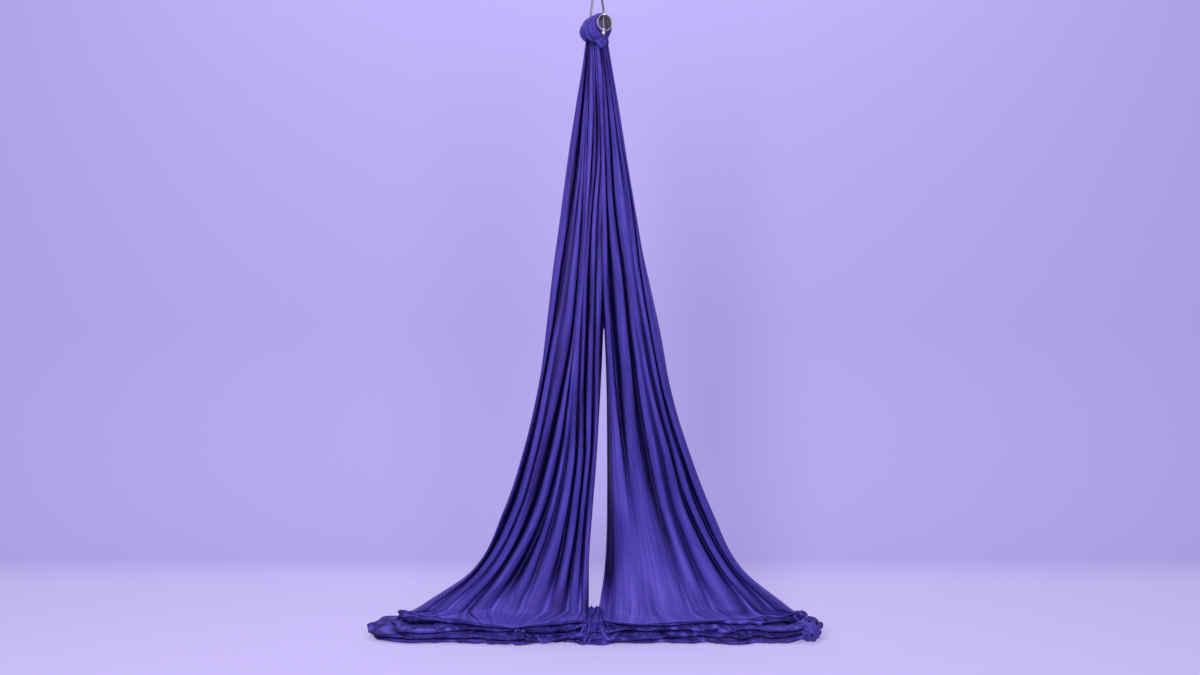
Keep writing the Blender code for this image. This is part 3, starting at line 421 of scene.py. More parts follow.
def tube_steel(name, colour, dark, bore):
    """Polished outside, and dull and dark inside the bore, told by its distance to the axis."""
    shader = steel(name, colour, dark, 0.20, 0.06, TURNED)
    place = shader.node("ShaderNodeTexCoord")
    turned = shader.node(
        "ShaderNodeMapping",
        vector_type="TEXTURE",
        Location=(0, 0, TUBE_HEIGHT),
        Rotation=(0, 0, TUBE_HEADING),
        Scale=(FAR_ALONG, 2 * TUBE_RADIUS, 2 * TUBE_RADIUS),
    )
    shader.link(place.outputs["Object"], turned.inputs["Vector"])
    reach = shader.node("ShaderNodeTexGradient", gradient_type="SPHERICAL")
    shader.link(turned.outputs["Vector"], reach.inputs["Vector"])
    inside = shader.levels(reach.outputs["Fac"], 0.0, 1.0, BORE_START, BORE_END)
    for channel, kind, value in (
        ("Base Color", "RGBA", (*bore, 1)),
        ("Roughness", "FLOAT", BORE_ROUGHNESS),
    ):
        outside = shader.bsdf.inputs[channel].links[0].from_socket
        blend = shader.node("ShaderNodeMix", data_type=kind)
        sockets = [s for s in blend.inputs if s.enabled and s.name in ("Factor", "A", "B")]
        shader.link(inside, sockets[0])
        shader.link(outside, sockets[1])
        sockets[2].default_value = value
        shader.feed(channel, [s for s in blend.outputs if s.enabled][0])
    return shader


def coated(name, colour, dark, roughness):
    """Powder coat or moulded plastic: a fine orange-peel surface with small changes of shade."""
    shader = Shader(name)
    shade = shader.noise("Object", (38.0, 38.0, 38.0), detail=4.0)
    shader.feed("Base Color", shader.colours(shade, ((0.3, dark), (0.7, colour))))
    peel = shader.noise("Object", (900.0, 900.0, 900.0), detail=2.0)
    shader.feed("Roughness", shader.levels(peel, roughness - 0.06, roughness + 0.06))
    shader.feed("Normal", shader.bump(peel, 0.15, 0.0003))
    return shader


TRICOT = satin_tricot()
POLISHED = tube_steel("polished_tube_steel", (0.72, 0.69, 0.62), (0.58, 0.55, 0.49), (0.42, 0.40, 0.40))
BAIL_STEEL = steel("bail_bar_steel", (0.28, 0.265, 0.245), (0.21, 0.20, 0.185), 0.30, 0.05, DRAWN)
PLATED = steel("zinc_plated_steel", (0.34, 0.32, 0.29), (0.26, 0.25, 0.22), 0.50, 0.08, PLATING)
FORGED = steel("forged_black_steel", (0.20, 0.20, 0.21), (0.12, 0.12, 0.13), 0.36, 0.08, FORGING)
PAINTED = coated("grey_powder_coat", (0.42, 0.42, 0.43), (0.36, 0.36, 0.37), 0.48)
SHIELD = coated("black_shield_plastic", (0.030, 0.030, 0.033), (0.020, 0.020, 0.022), 0.55)

NODE_SHADERS = {
    "painted_plate": PAINTED,
    "forged_steel": FORGED,
    "plated_steel": PLATED,
    "polished_steel": POLISHED,
    "bail_steel": BAIL_STEEL,
    "bearing_shield": SHIELD,
    "silk_cloth": TRICOT,
}
for row in frame["record"]["subparts"]:
    node = frame["nodes"][row["node"]]
    node.data.materials.clear()
    node.data.materials.append(NODE_SHADERS[row["material_slot"]].material)


# Tails


HANG_ROWS = 170
# How far a tail's front and back lie from its middle, and the share of that at four heights
FRONT_REACH, BACK_REACH = -0.036, 0.037
REACH_ROWS, REACH_SHARES = (40, 120, 300, 606), (0.72, 0.9, 1.0, 1.0)
# How much of their depth the valleys have from the hitch down
DEPTH_ROWS, DEPTH_SHARES = (40, 90, 160, 480, 560, 606), (0.6, 0.9, 1.2, 1.25, 1.1, 0.7)
# The greatest depth of a valley for the width beside it, in front and at the back
STEEPEST, BACK_STEEPEST = 3.0, 2.4
# How far the fold lines wander, then the ridges between them, how far those lift, and their inset
LINE_WANDER, RIDGE_WANDER, RIDGE_LIFT, RIDGE_INSET = 0.0022, 0.30, 0.0035, 0.002
# The lengths in pixels down the photograph over which the lines wander and the ridges lift
LINE_LENGTH, RIDGE_LENGTH, LIFT_LENGTH, BACK_LENGTH = 70, 160, 60, 110
# How far in front of or behind a tail's middle its inner edge lies
INNER_EDGE = {LEFT: -0.006, RIGHT: 0.016}
# The outer edge's rounding, the most of it for the last fold's width, and where its turn starts
EDGE_ROUND, ROUND_SHARE, EDGE_REACH = 0.009, 0.35, 0.45
# Points round the outer edge; then the spacing, fewest and most of those between two lines
EDGE_STEPS = 12
SPACING, FEWEST_STEPS, MOST_STEPS = 0.006, 9, 26
# The depth at which a valley's painted shade is darkest, at four heights, and how much depth at the
# back counts beside it; then the highlight painted on ridges and on the outer edge
DARK_ROWS = (35, 120, 300, 606)
VALLEY_DARK = {LEFT: (0.005, 0.007, 0.010, 0.014), RIGHT: (0.006, 0.010, 0.015, 0.019)}
BACK_DARK = 0.6
RIDGE_PAINTED_LIGHT, EDGE_PAINTED_LIGHT = -0.7, -0.35
# The knot's shadow painted on the tails below it: how dark it is, how much of that fades, and where
KNOT_DARK, KNOT_FADE, KNOT_SHADE = 0.8, 1.5, (43, 51)
BACK_FOLDS = {LEFT: 7, RIGHT: 6}
BACK_DEPTH, BACK_WANDER, BACK_LIFT = 0.0145, 0.018, 0.003
# The back's inner edge lies beyond the front's above the slit, and inside it below.
SLIT_TOP, SLIT_BLEND = 333, (-18, 6)
BACK_OVERLAP, BACK_SETBACK, INNER_BACK = 0.012, 0.018, 0.7
# Small unevenness of the cloth: its size, its steps for each metre across and down, and a seed
RELIEF = ((0.0018, 38, 2.4, 31), (0.0012, 85, 8.0, 32))
RELIEF_ROWS, RELIEF_SHARES = (40, 80, 200, 606), (0.7, 1.2, 1.2, 1.0)
RELIEF_SIDEWAYS = 0.4
# The tails grow thicker towards the floor: how far, from which height down, and how suddenly
FOOT_SPREAD, FOOT_TOP, FOOT_POWER = 0.036, 520, 2.4
MOUND_HEIGHT = from_floor(FOLD_ROWS[-1])


def reach_share(py):
    """How much of its full thickness a tail has at each height."""
    return smooth_curve(py, REACH_ROWS, REACH_SHARES)


def fold_lines(side, py):
    """The tail's fold lines from its inner front edge, round its outer edge, to its back."""
    folds, depths, fades = LEFT_TABLES if side == LEFT else RIGHT_TABLES
    seed = 7 + side
    lines = [from_left(smooth_curve(py, FOLD_ROWS, row)) for row in folds]
    for k in range(1, len(lines) - 1):
        lines[k] = lines[k] + LINE_WANDER * noise(py / LINE_LENGTH + 9 * k, py * 0 + k, seed)
    shrink = smooth_curve(py, DEPTH_ROWS, DEPTH_SHARES)
    front = FRONT_REACH * reach_share(py)
    back = BACK_REACH * reach_share(py)
    points = [(lines[0], py * 0 + INNER_EDGE[side])]
    for k in range(len(lines) - 1):
        middle = 0.5 + RIDGE_WANDER * noise(py / RIDGE_LENGTH + 5 * k, py * 0 + 3 * k, seed + 1)
        ridge = lines[k] * (1 - middle) + lines[k + 1] * middle
        lift = RIDGE_LIFT * noise(py / LIFT_LENGTH + 7 * k, py * 0 + 2 * k, seed + 2)
        points.append((ridge, front + RIDGE_INSET + lift))
        if k + 2 < len(lines):
            width = np.maximum(abs(lines[k + 1] - lines[k]), abs(lines[k + 2] - lines[k + 1]))
            full = depths[k + 1] * shrink * smooth_curve(py, FADE_ROWS, fades[k])
            points.append((lines[k + 1], front + np.minimum(full, STEEPEST * width)))
    outer, inner = lines[-1], lines[0]
    round_edge = np.minimum(EDGE_ROUND, ROUND_SHARE * abs(lines[-1] - lines[-2]))
    points.append((outer - side * round_edge, front * EDGE_REACH))
    turn = len(points)
    points.append((outer - side * round_edge, back * EDGE_REACH))
    beyond = ramp(py, SLIT_TOP + SLIT_BLEND[0], SLIT_TOP + SLIT_BLEND[1])
    inner = inner - side * (BACK_OVERLAP - BACK_SETBACK * beyond)
    parts = 2 * BACK_FOLDS[side] + 1
    for k in range(parts - 1):
        wander = BACK_WANDER * noise(py / BACK_LENGTH + 3 * k, py * 0 + 5 * k, seed + 3)
        share = (k + 1) / parts + wander
        x = (outer - side * round_edge) * (1 - share) + inner * share
        depth = np.minimum(BACK_DEPTH * shrink, BACK_STEEPEST * (abs(outer - inner) / parts))
        high = back + BACK_LIFT * noise(py / LIFT_LENGTH + 7 * k, py * 0 + 2 * k, seed + 4)
        points.append((x, high if k % 2 == 0 else high - depth))
    points.append((inner, back * INNER_BACK))
    return points, turn


def hanging_part(side):
    """Points of a tail from the hitch down to the top of its rolls.

    With them come, for its columns, whether they face the front (0) or the back (1) and how far
    along the cloth they lie, and for its points the shade painted on them: from their depth in a
    valley, with painted highlight on ridges and the outer edge and a painted shadow under the knot."""
    py = FOLD_ROWS[0] + (FOLD_ROWS[-1] - FOLD_ROWS[0]) * np.linspace(0, 1, HANG_ROWS)
    lines, turn = fold_lines(side, py)
    parts, facing, edge = [], [], []
    for k in range(len(lines) - 1):
        (x0, y0), (x1, y1) = lines[k], lines[k + 1]
        if k == turn - 1:
            count = EDGE_STEPS
            swing = (np.arange(count) / count * math.pi)[None, :]
            round_edge = np.minimum(EDGE_ROUND, ROUND_SHARE * abs(lines[k][0] - lines[k - 2][0]))
            x = x0[:, None] + side * round_edge[:, None] * np.sin(swing)
            y = y0[:, None] + (y1 - y0)[:, None] * (1 - np.cos(swing)) / 2
            facing.append(np.arange(count) / count)
        else:
            count = int(np.clip(abs(x1 - x0).max() / SPACING, FEWEST_STEPS, MOST_STEPS))
            ridge = 0 if k >= turn - 1 else 1 if k % 2 else -1
            x, y = bend(x0, y0, x1, y1, count, ridge)
            facing.append(np.full(count, 0.0 if k < turn else 1.0))
        parts.append((x, y))
        edge.append(np.full(count, turn - 2 <= k <= turn - 1))
    parts.append((lines[-1][0][:, None], lines[-1][1][:, None]))
    facing.append(np.array([1.0]))
    edge = np.concatenate([*edge, [False]])
    x = np.concatenate([part[0] for part in parts], axis=1)
    y = np.concatenate([part[1] for part in parts], axis=1)
    facing = np.concatenate(facing)
    arc = np.hypot(np.diff(x, axis=1), np.diff(y, axis=1)).mean(axis=0)
    arc = np.concatenate([[0], np.cumsum(arc)])
    z = np.repeat((FLOOR + from_floor(py))[:, None], x.shape[1], axis=1)
    grid_arc = np.repeat(arc[None, :], len(py), axis=0)
    relief = 0
    for size, across, down, seed in RELIEF:
        relief = relief + size * noise(grid_arc * across, z * down, seed)
    y = y + relief * smooth_curve(py, RELIEF_ROWS, RELIEF_SHARES)[:, None]
    x = x + RELIEF_SIDEWAYS * relief
    front = FRONT_REACH * reach_share(py)[:, None]
    # The shade painted on each point, darker the deeper it lies behind the tail's front
    deep = np.where(facing[None, :] < 0.5, y - front, (-front - y) * BACK_DARK)
    dark = smooth_curve(py, DARK_ROWS, VALLEY_DARK[side])[:, None]
    # Painted highlight on the ridges and on the outer edge
    painted_shading = np.clip(deep / dark, 0, 1) * (1 - RIDGE_PAINTED_LIGHT) + RIDGE_PAINTED_LIGHT
    painted_shading = np.where(edge[None, :], EDGE_PAINTED_LIGHT, painted_shading)
    # A shadow painted on the tails just under the knot
    painted_shading = np.maximum(painted_shading, KNOT_DARK - KNOT_FADE * ramp(py, *KNOT_SHADE)[:, None])
    foot = np.clip((py - FOOT_TOP) / (FOLD_ROWS[-1] - FOOT_TOP), 0, 1)[:, None]
    spread = FOOT_SPREAD * foot**FOOT_POWER
    outward = np.where(facing < 0.5, -1, 1)[None, :] * ramp(abs(facing - 0.5), 0, 0.5)[None, :]
    y = y + spread * outward
    return np.stack([x, y, z], axis=-1), facing, arc, painted_shading


# Where each tail's lowest fold turns under itself: pixels across the photograph, then how far
# in front of the tail the fold's lip lies there and how high.
LEFT_LIP = (
    (412, 0.070, 0.112),
    (440, 0.080, 0.102),
    (475, 0.100, 0.074),
    (512, 0.112, 0.048),
    (545, 0.102, 0.060),
    (589, 0.090, 0.080),
)
RIGHT_LIP = (
    (600, 0.086, 0.076),
    (640, 0.102, 0.062),
    (700, 0.094, 0.074),
    (745, 0.082, 0.086),
    (788, 0.066, 0.098),
)
# The same all along the back
BACK_LIP = (0.070, 0.082)
# The rows down to the lip, and how far forward and how steeply the cloth runs into it
LIP_ROWS = 7
LIP_FORWARD, LIP_STEEPNESS = 0.030, 0.9
# The line that the lip follows ends inside the tail's outer edge and inner edge.
OUTER_INSET, INNER_INSET, POOL_INNER_PX = 0.020, 0.010, 593
# Where that line ends, where it starts to turn to the back, and for how long: shares of the way
# from the inner edge to the outer edge
LINE_END, TURN_START, TURN_LENGTH = 0.84, 0.78, 0.22
# How much farther the open folds reach out at the tail's outer end, and how much less behind it
WIDER = {LEFT: 0.58, RIGHT: 0.06}
BACK_NARROWER = 0.28
# The pools' unevenness: its seeds, how many columns make one step of it, and then how much the
# lip and the open folds beyond are moved
POOL_SEED = {LEFT: 53, RIGHT: 41}
COLUMNS_PER_STEP = 20
LIP_UNEVEN = (0.008, 0.004, 0.004)
FOLDS_SHIFT = (0.075, 0.028)
REACH_UNEVEN, HEIGHT_UNEVEN = (0.036, 0.014), 0.016
# The spare cloth beyond the lip before it is let down, in open folds that drop into rolls: a
# share of the way along it, how far out from the tail it lies, and how high.
LET_DOWN = 0.26
OPEN_FOLDS = (
    (0.05, 0.066, 0.282),
    (0.18, 0.014, 0.245),
    (0.34, 0.138, 0.205),
    (0.48, 0.040, 0.165),
    (0.65, 0.165, 0.110),
    (0.78, 0.070, 0.075),
    (0.91, 0.180, 0.020),
    (0.95, 0.176, 0.010),
    (1.00, 0.145, 0.010),
)
POOL_COLUMNS, FREE_ROWS = 124, 50
HANG_HELD = 4
# The cloth is let down in all but the last of these frames, in which it comes to rest.
SETTLE_FRAMES, STILL_FRAMES = 26, 8
# The floor that it lands on, by half its sides, and a low core of loose cloth at the tail's foot
LANDING_HALF, LANDING_POINTS = (1.4, 0.6), (141, 61)
CORE_HEIGHT, CORE_REACH, CORE_POWER = 0.046, 0.135, 0.6


def cubic_rows(values, at):
    """Rows of values at fractional places between them, on smooth curves through them."""
    k = np.clip(np.floor(at).astype(int), 0, len(values) - 2)
    s = (at - k).reshape((-1,) + (1,) * (values.ndim - 1))
    before, after = np.maximum(k - 1, 0), np.minimum(k + 2, len(values) - 1)
    a, b, c, d = values[before], values[k], values[k + 1], values[after]
    return b + 0.5 * s * (c - a + s * (2 * a - 5 * b + 4 * c - d + s * (3 * (b - c) + d - a)))


def open_pool(side, hung, facing):
    """The cloth below the hanging part, held as far as its lip and in wide open folds beyond."""
    seed = POOL_SEED[side]
    share = np.linspace(0, 1, POOL_COLUMNS)
    turn_start, turn_end = share[np.argmax(facing > 0)], share[np.argmax(facing >= 1)]
    outer = hung[-1, np.argmax(facing > 0), 0] - side * OUTER_INSET
    inner = from_left(POOL_INNER_PX) - side * INNER_INSET
    front, back = share <= turn_start, share >= turn_end
    run = np.where(front, share / turn_start, np.where(back, (1 - share) / (1 - turn_end), 1.0))
    line = inner + (outer - inner) * np.clip(run / LINE_END, 0, 1)
    swing = math.pi / 2 * np.clip((run - TURN_START) / TURN_LENGTH, 0, 1)
    angle = np.where(front, swing - math.pi / 2, np.where(back, math.pi / 2 - swing, 0.0))
    path = np.arange(POOL_COLUMNS) / COLUMNS_PER_STEP
    zero = path * 0

    lip_px, *lips = zip(*(LEFT_LIP if side == LEFT else RIGHT_LIP))
    px = SILKS_CENTRE_PX + line / METRES_PER_PIXEL
    to_back = ramp(angle, -0.8, 1.2)
    lip_out, lip_high = [
        np.interp(px, lip_px, lip) * (1 - to_back) + back_lip * to_back
        for lip, back_lip in zip(lips, BACK_LIP)
    ]
    lip_out = lip_out + LIP_UNEVEN[0] * noise(path * 1.7, zero + 2, seed)
    lip_out = lip_out + LIP_UNEVEN[1] * noise(path * 5, zero + 4, seed)
    lip_high = lip_high + LIP_UNEVEN[2] * noise(path * 2.1, zero + 6, seed)
    outward = np.stack([side * np.cos(angle), np.sin(angle), zero], axis=-1)
    lip = np.stack([line, zero, FLOOR + lip_high], axis=-1) + lip_out[:, None] * outward
    drop = (MOUND_HEIGHT - lip_high)[:, None]
    leave = (hung[-1] - hung[-2]) * drop / (hung[-2, 0, 2] - hung[-1, 0, 2])
    arrive = outward * LIP_FORWARD - np.array([0, 0, LIP_STEEPNESS]) * drop
    held = []
    for s in np.linspace(0, 1, LIP_ROWS + 1)[1:]:
        row = hung[-1] * (2 * s**3 - 3 * s**2 + 1) + lip * (3 * s**2 - 2 * s**3)
        row = row + leave * (s**3 - 2 * s**2 + s) + arrive * (s**3 - s**2)
        held.append(row + np.array([0, 0, LET_DOWN]))

    t = np.linspace(0, 1, FREE_ROWS + 1)[1:]
    grid_t = np.repeat(t[:, None], POOL_COLUMNS, axis=1)
    grid_path = np.repeat(path[None, :], FREE_ROWS, axis=0)
    between = np.sin(math.pi * grid_t)
    shifted = grid_t + FOLDS_SHIFT[0] * noise(grid_path * 1.1, grid_t * 4, seed) * between
    shifted = shifted + FOLDS_SHIFT[1] * noise(grid_path * 2.6, grid_t * 6, seed + 7) * between
    knots, reaches, heights = zip(*OPEN_FOLDS)
    r = np.interp(shifted, knots, reaches)
    z = np.interp(shifted, knots, heights)
    start = ramp(grid_t, 0.0, 0.10)
    r = lip_out * (1 - start) + r * start
    z = (lip_high + LET_DOWN - 0.01) * (1 - start) + z * start
    r = r + start * REACH_UNEVEN[0] * noise(grid_path * 1.4, grid_t * 4, seed + 1)
    r = r + start * REACH_UNEVEN[1] * noise(grid_path * 5, grid_t * 5, seed + 2)
    z = z + start * HEIGHT_UNEVEN * noise(grid_path * 4, grid_t * 6, seed + 3) * (1 - grid_t)
    r = r * (1 + WIDER[side] * np.cos(angle) ** 2 - BACK_NARROWER * ramp(angle, -0.4, 1.2))
    free = np.stack([line + side * r * np.cos(angle), r * np.sin(angle), FLOOR + z], axis=-1)
    return np.concatenate([held, free]), len(held)


def settle(points, weights):
    """The open folds let down as cloth onto the floor and the loose cloth's own core.

    The rows are held as strongly as their weights say."""
    rows, columns = points.shape[:2]
    cloth = sheet_object("spare_cloth", points, np.zeros((rows, columns, 2)), TRICOT)
    held = cloth.vertex_groups.new(name="held")
    for row, weight in enumerate(weights):
        held.add(list(range(row * columns, (row + 1) * columns)), weight, "REPLACE")
    ends = points[HANG_HELD, :, 0]
    sides = [np.linspace(-half, half, count) for half, count in zip(LANDING_HALF, LANDING_POINTS)]
    x, y = np.meshgrid(*sides)
    apart = np.hypot(x - np.clip(x, ends.min(), ends.max()), y) / CORE_REACH
    core = CORE_HEIGHT * np.clip(1 - apart**2, 0, 1) ** CORE_POWER
    ground = np.stack([x, y, FLOOR + core], axis=-1)
    landing = sheet_object("landing", ground, np.zeros((*x.shape, 2)), TRICOT)
    landing.modifiers.new("collision", "COLLISION")
    landing.collision.thickness_outer = 0.002
    landing.collision.cloth_friction = 60
    fall = cloth.modifiers.new("cloth", "CLOTH")
    fall.settings.quality = 4
    fall.settings.mass = 0.15
    fall.settings.air_damping = 3
    fall.settings.tension_stiffness = fall.settings.compression_stiffness = 8
    fall.settings.tension_damping = fall.settings.compression_damping = 3
    fall.settings.shear_stiffness = fall.settings.shear_damping = 3
    fall.settings.bending_stiffness = 0.05
    fall.settings.bending_damping = 0.2
    fall.settings.vertex_group_mass = "held"
    fall.collision_settings.collision_quality = 2
    fall.collision_settings.distance_min = 0.003
    fall.collision_settings.use_self_collision = True
    fall.collision_settings.self_distance_min = 0.004
    fall.collision_settings.self_friction = 10
    fall.point_cache.frame_start = 1
    fall.point_cache.frame_end = SETTLE_FRAMES
    cloth.keyframe_insert("location", frame=1)
    cloth.location.z = -LET_DOWN
    cloth.keyframe_insert("location", frame=SETTLE_FRAMES - STILL_FRAMES)
    for step in range(1, SETTLE_FRAMES + 1):
        bpy.context.scene.frame_set(step)
    fallen = cloth.evaluated_get(bpy.context.evaluated_depsgraph_get())
    place = np.zeros(rows * columns * 3)
    fallen.data.vertices.foreach_get("co", place)
    place = place.reshape(rows, columns, 3)
    place[..., 2] -= LET_DOWN
    for made in (cloth, landing):
        bpy.data.objects.remove(made)
    bpy.context.scene.frame_set(1)
    return place


def pool_part(side, last, facing, arc):
    """The tail's spare cloth, which lies round its foot in long rolls."""
    even = np.linspace(0, arc[-1], POOL_COLUMNS)
    thin = np.interp(even, arc, np.arange(len(arc)))
    hung = cubic_rows(last.transpose(1, 0, 2), thin).transpose(1, 0, 2)
    opened, held_rows = open_pool(side, hung, np.interp(even, arc, facing))
    cloth = np.concatenate([hung + np.array([0, 0, LET_DOWN]), opened])
    held_rows += len(hung)
    cloth = settle(cloth, 1 - ramp(np.arange(held_rows), held_rows - 5, held_rows + 1))
    finer = np.linspace(0, len(cloth) - 1, 2 * len(cloth))
    pool = cubic_rows(cloth, finer)
    columns = arc / arc[-1] * (POOL_COLUMNS - 1)
    pool = cubic_rows(pool.transpose(1, 0, 2), columns).transpose(1, 0, 2)
    coarse = cubic_rows(hung.transpose(1, 0, 2), columns).transpose(1, 0, 2)
    fine = cubic_rows(last - coarse, np.clip(finer, 0, len(last) - 1))
    pool = pool + fine * (1 - ramp(finer, len(last) - 1, held_rows))[:, None, None]
    pool[..., 2] = np.maximum(pool[..., 2], FLOOR + ABOVE)
    return pool


def make_tail(side, name, node):
    hanging, facing, arc, painted_shading = hanging_part(side)
    pool = pool_part(side, hanging[-HANG_HELD:], facing, arc)
    points = np.concatenate([hanging[:-HANG_HELD], pool])
    steps = np.linalg.norm(np.diff(points, axis=0), axis=-1).mean(axis=1)
    down = np.concatenate([[0], np.cumsum(steps)])
    uv = np.stack(np.meshgrid(arc / arc[-1] * CLOTH_WIDTH, down), axis=-1)
    piece = cloth_object(name, points, uv, side, painted_shading)
    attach(piece, "silks")
    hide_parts(node)


# Hitch


def tube_point(turn, along, radius):
    """A point round the hanger tube: turn from its top towards the picture's left."""
    sideways = -radius * np.sin(turn)
    x = sideways * math.cos(TUBE_HEADING + math.pi / 2) + along * math.cos(TUBE_HEADING)
    y = sideways * math.sin(TUBE_HEADING + math.pi / 2) + along * math.sin(TUBE_HEADING)
    return np.stack([x, y, TUBE_HEIGHT + radius * np.cos(turn)], axis=-1)


# The loop: half its width, how much narrower it is under the tube, its sway and its thickness
LOOP_HALF, LOOP_NARROWER, LOOP_SWAY, LOOP_THICK = 0.057, 0.16, 0.006, 0.0110
# Where the loop stands out from the tube, at a turn to the left: how far, where and how widely;
# then the same on its right, and twice on both sides alike
LOOP_BULGE = (0.026, 2.15, 0.62)
LOOP_RIGHT = (0.006, -2.1, 0.6)
LOOP_BOTH = ((0.014, math.pi, 0.75), (0.009, 2.7, 0.40))
# The depths of the crease on its upper left and of the notch under it
CREASE_DEPTH, NOTCH_DEPTH = 0.009, 0.034


def make_loop():
    """The cloth wound round the tube, gathered into soft folds."""
    turn, across = np.linspace(-math.pi, math.pi, 241), np.linspace(-1, 1, 131)
    grid_turn, grid_across = np.meshgrid(turn, across)
    below = ramp(abs(grid_turn), 1.5, 2.9)
    along = grid_across * LOOP_HALF * (1 - LOOP_NARROWER * below)
    along = along + LOOP_SWAY * np.sin(grid_turn * 1.5 + 1.0) * (1 - grid_across**2)
    lip = np.sqrt(np.clip(1 - grid_across**6, 0, 1))
    gather = grid_across * 11.0 + 1.8 * np.sin(grid_turn * 1.1 + 0.5)
    gather = gather + 0.8 * noise(grid_turn * 1.3 + 9, grid_across, 72)
    folds = 0.0036 * np.sin(gather) + 0.0014 * np.sin(2.3 * gather + 1.0)
    folds += 0.0026 * noise(grid_across * 5.0 + 9, grid_turn * 1.4 + 9, 71)
    radius = TUBE_RADIUS + ABOVE + LOOP_THICK * lip + folds * lip
    size, *spread = LOOP_BULGE
    radius += size * (hump(grid_turn, *spread) * (0.75 - 0.35 * grid_across)) * lip
    size, *spread = LOOP_RIGHT
    radius += size * hump(grid_turn, *spread) * lip
    for size, *spread in LOOP_BOTH:
        radius += size * hump(abs(grid_turn), *spread) * lip
    crease = hump(grid_across + 0.48 - 0.2 * (grid_turn - 1.0), 0, 0.08)
    radius -= CREASE_DEPTH * crease * ramp(grid_turn, 0.3, 0.7) * (1 - ramp(grid_turn, 1.2, 1.8))
    notch = hump(grid_across, -0.25, 0.20) * ramp(grid_turn, 2.05, 2.75)
    radius -= NOTCH_DEPTH * notch
    points = tube_point(grid_turn, along, radius)
    uv = np.stack([grid_across * 0.2, grid_turn * 0.05], axis=-1)
    piece = cloth_object("hitch_loop_cloth", points, uv, -1)
    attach(piece, "silks")
    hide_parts("hitch_loop")


# From the left of the neck to its right: how far across, then the band's middle in pixels down
# the photograph, and half its height.
BAND_MIDDLE = ((-1.0, -0.25, 0.3, 0.6, 1.0), (44.0, 42.0, 43.5, 41.5, 38.0))
BAND_HALF = ((-1.0, -0.25, 0.3, 0.6, 1.0), (0.008, 0.009, 0.021, 0.033, 0.031))
# The band's reach from the neck's middle, how much less it is on the left, how much less from
# front to back, and how far its middle stands out beyond its edges
BAND_REACH, BAND_LEFT_LESS, BAND_FLAT, BAND_ROUND = 0.0515, 0.024, 0.86, 0.013


def make_band():
    """The gathered band round the neck, which climbs to the tube's near mouth on the right."""
    turn, across = np.linspace(0, math.tau, 241), np.linspace(0, 1, 91)
    grid_turn, grid_across = np.meshgrid(turn, across)
    section = grid_across * math.pi
    middle = FLOOR + from_floor(smooth_curve(np.cos(turn), *BAND_MIDDLE))
    tall = smooth_curve(np.cos(turn), *BAND_HALF)
    gather = grid_across * 9.0 + 2.6 * np.sin(grid_turn + 0.7)
    folds = 0.0030 * np.sin(gather) + 0.0012 * np.sin(2.4 * gather + 0.7)
    round_neck = 2 * np.cos(grid_turn) + 3 * np.sin(grid_turn) + 9
    folds += 0.0024 * noise(grid_across * 4.0 + 0.7, round_neck, 83)
    reach = BAND_REACH - BAND_LEFT_LESS * ramp(-np.cos(grid_turn), 0.0, 0.65)
    out = reach - BAND_ROUND + BAND_ROUND * np.sin(section) ** 0.45 + folds * np.sin(section)
    x = out * np.cos(grid_turn)
    y = BAND_FLAT * out * np.sin(grid_turn)
    points = np.stack([x, y, middle + tall * np.cos(section)], axis=-1)
    uv = np.stack([grid_across * 0.1, grid_turn * 0.05], axis=-1)
    piece = cloth_object("hitch_band_cloth", points, uv, -1)
    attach(piece, "silks")
    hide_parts("hitch_band")


# The ruffle's middle and half its width at its top, and how much wider it is at its foot, in
# pixels; then where it starts in front of the tails, how far it runs forward, and its height
RUFFLE_PX, RUFFLE_HALF, RUFFLE_WIDER = 594.5, 5, 13
RUFFLE_START, RUFFLE_RUN, RUFFLE_HEIGHT = -0.070, 0.110, 0.142
# The end roll: its radius, its place above the floor and its length; then how far its face is
# domed, how far its eye stands out, and how deep its pleats are
ROLL_RADIUS = 0.043
ROLL_PLACE = (0.941, -0.176, 0.041)
ROLL_LENGTH = 0.13
ROLL_DOME, ROLL_EYE, ROLL_PLEAT = 0.022, 0.016, 0.009


def make_slit_ruffle():
    """The tails' inner edges, which lie in small ruffles over the rolls under the slit."""
    across, down = np.linspace(-1, 1, 91), np.linspace(0, 1, 71)
    u, v = np.meshgrid(across, down)
    px = RUFFLE_PX + u * (RUFFLE_HALF + RUFFLE_WIDER * v**0.9) + 2.6 * noise(u * 1.4 + 5, v * 4, 91)
    wave = np.sin(9.5 * u + 5.5 * v + 2.6 * noise(u * 1.2 + 5, v * 3 + 2, 92))
    front = RUFFLE_START - RUFFLE_RUN * v**0.9 - 0.014 * (1 - u**2)
    y = front + 0.013 * wave * (1 - 0.4 * v) + 0.012 * noise(u * 3.5 + 5, v * 9, 93)
    rise = RUFFLE_HEIGHT * (1 - v) ** 1.15 + 0.004
    z = FLOOR + rise + 0.006 * noise(u * 2.4 + 5, v * 5, 94) * (1 - v)
    points = np.stack([from_left(px), np.minimum(y, -0.03), np.maximum(z, FLOOR + ABOVE)], axis=-1)
    uv = np.stack([u * 0.09, v * 0.22], axis=-1)
    piece = cloth_object("slit_ruffle_cloth", points, uv, -1)
    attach(piece, "silks")


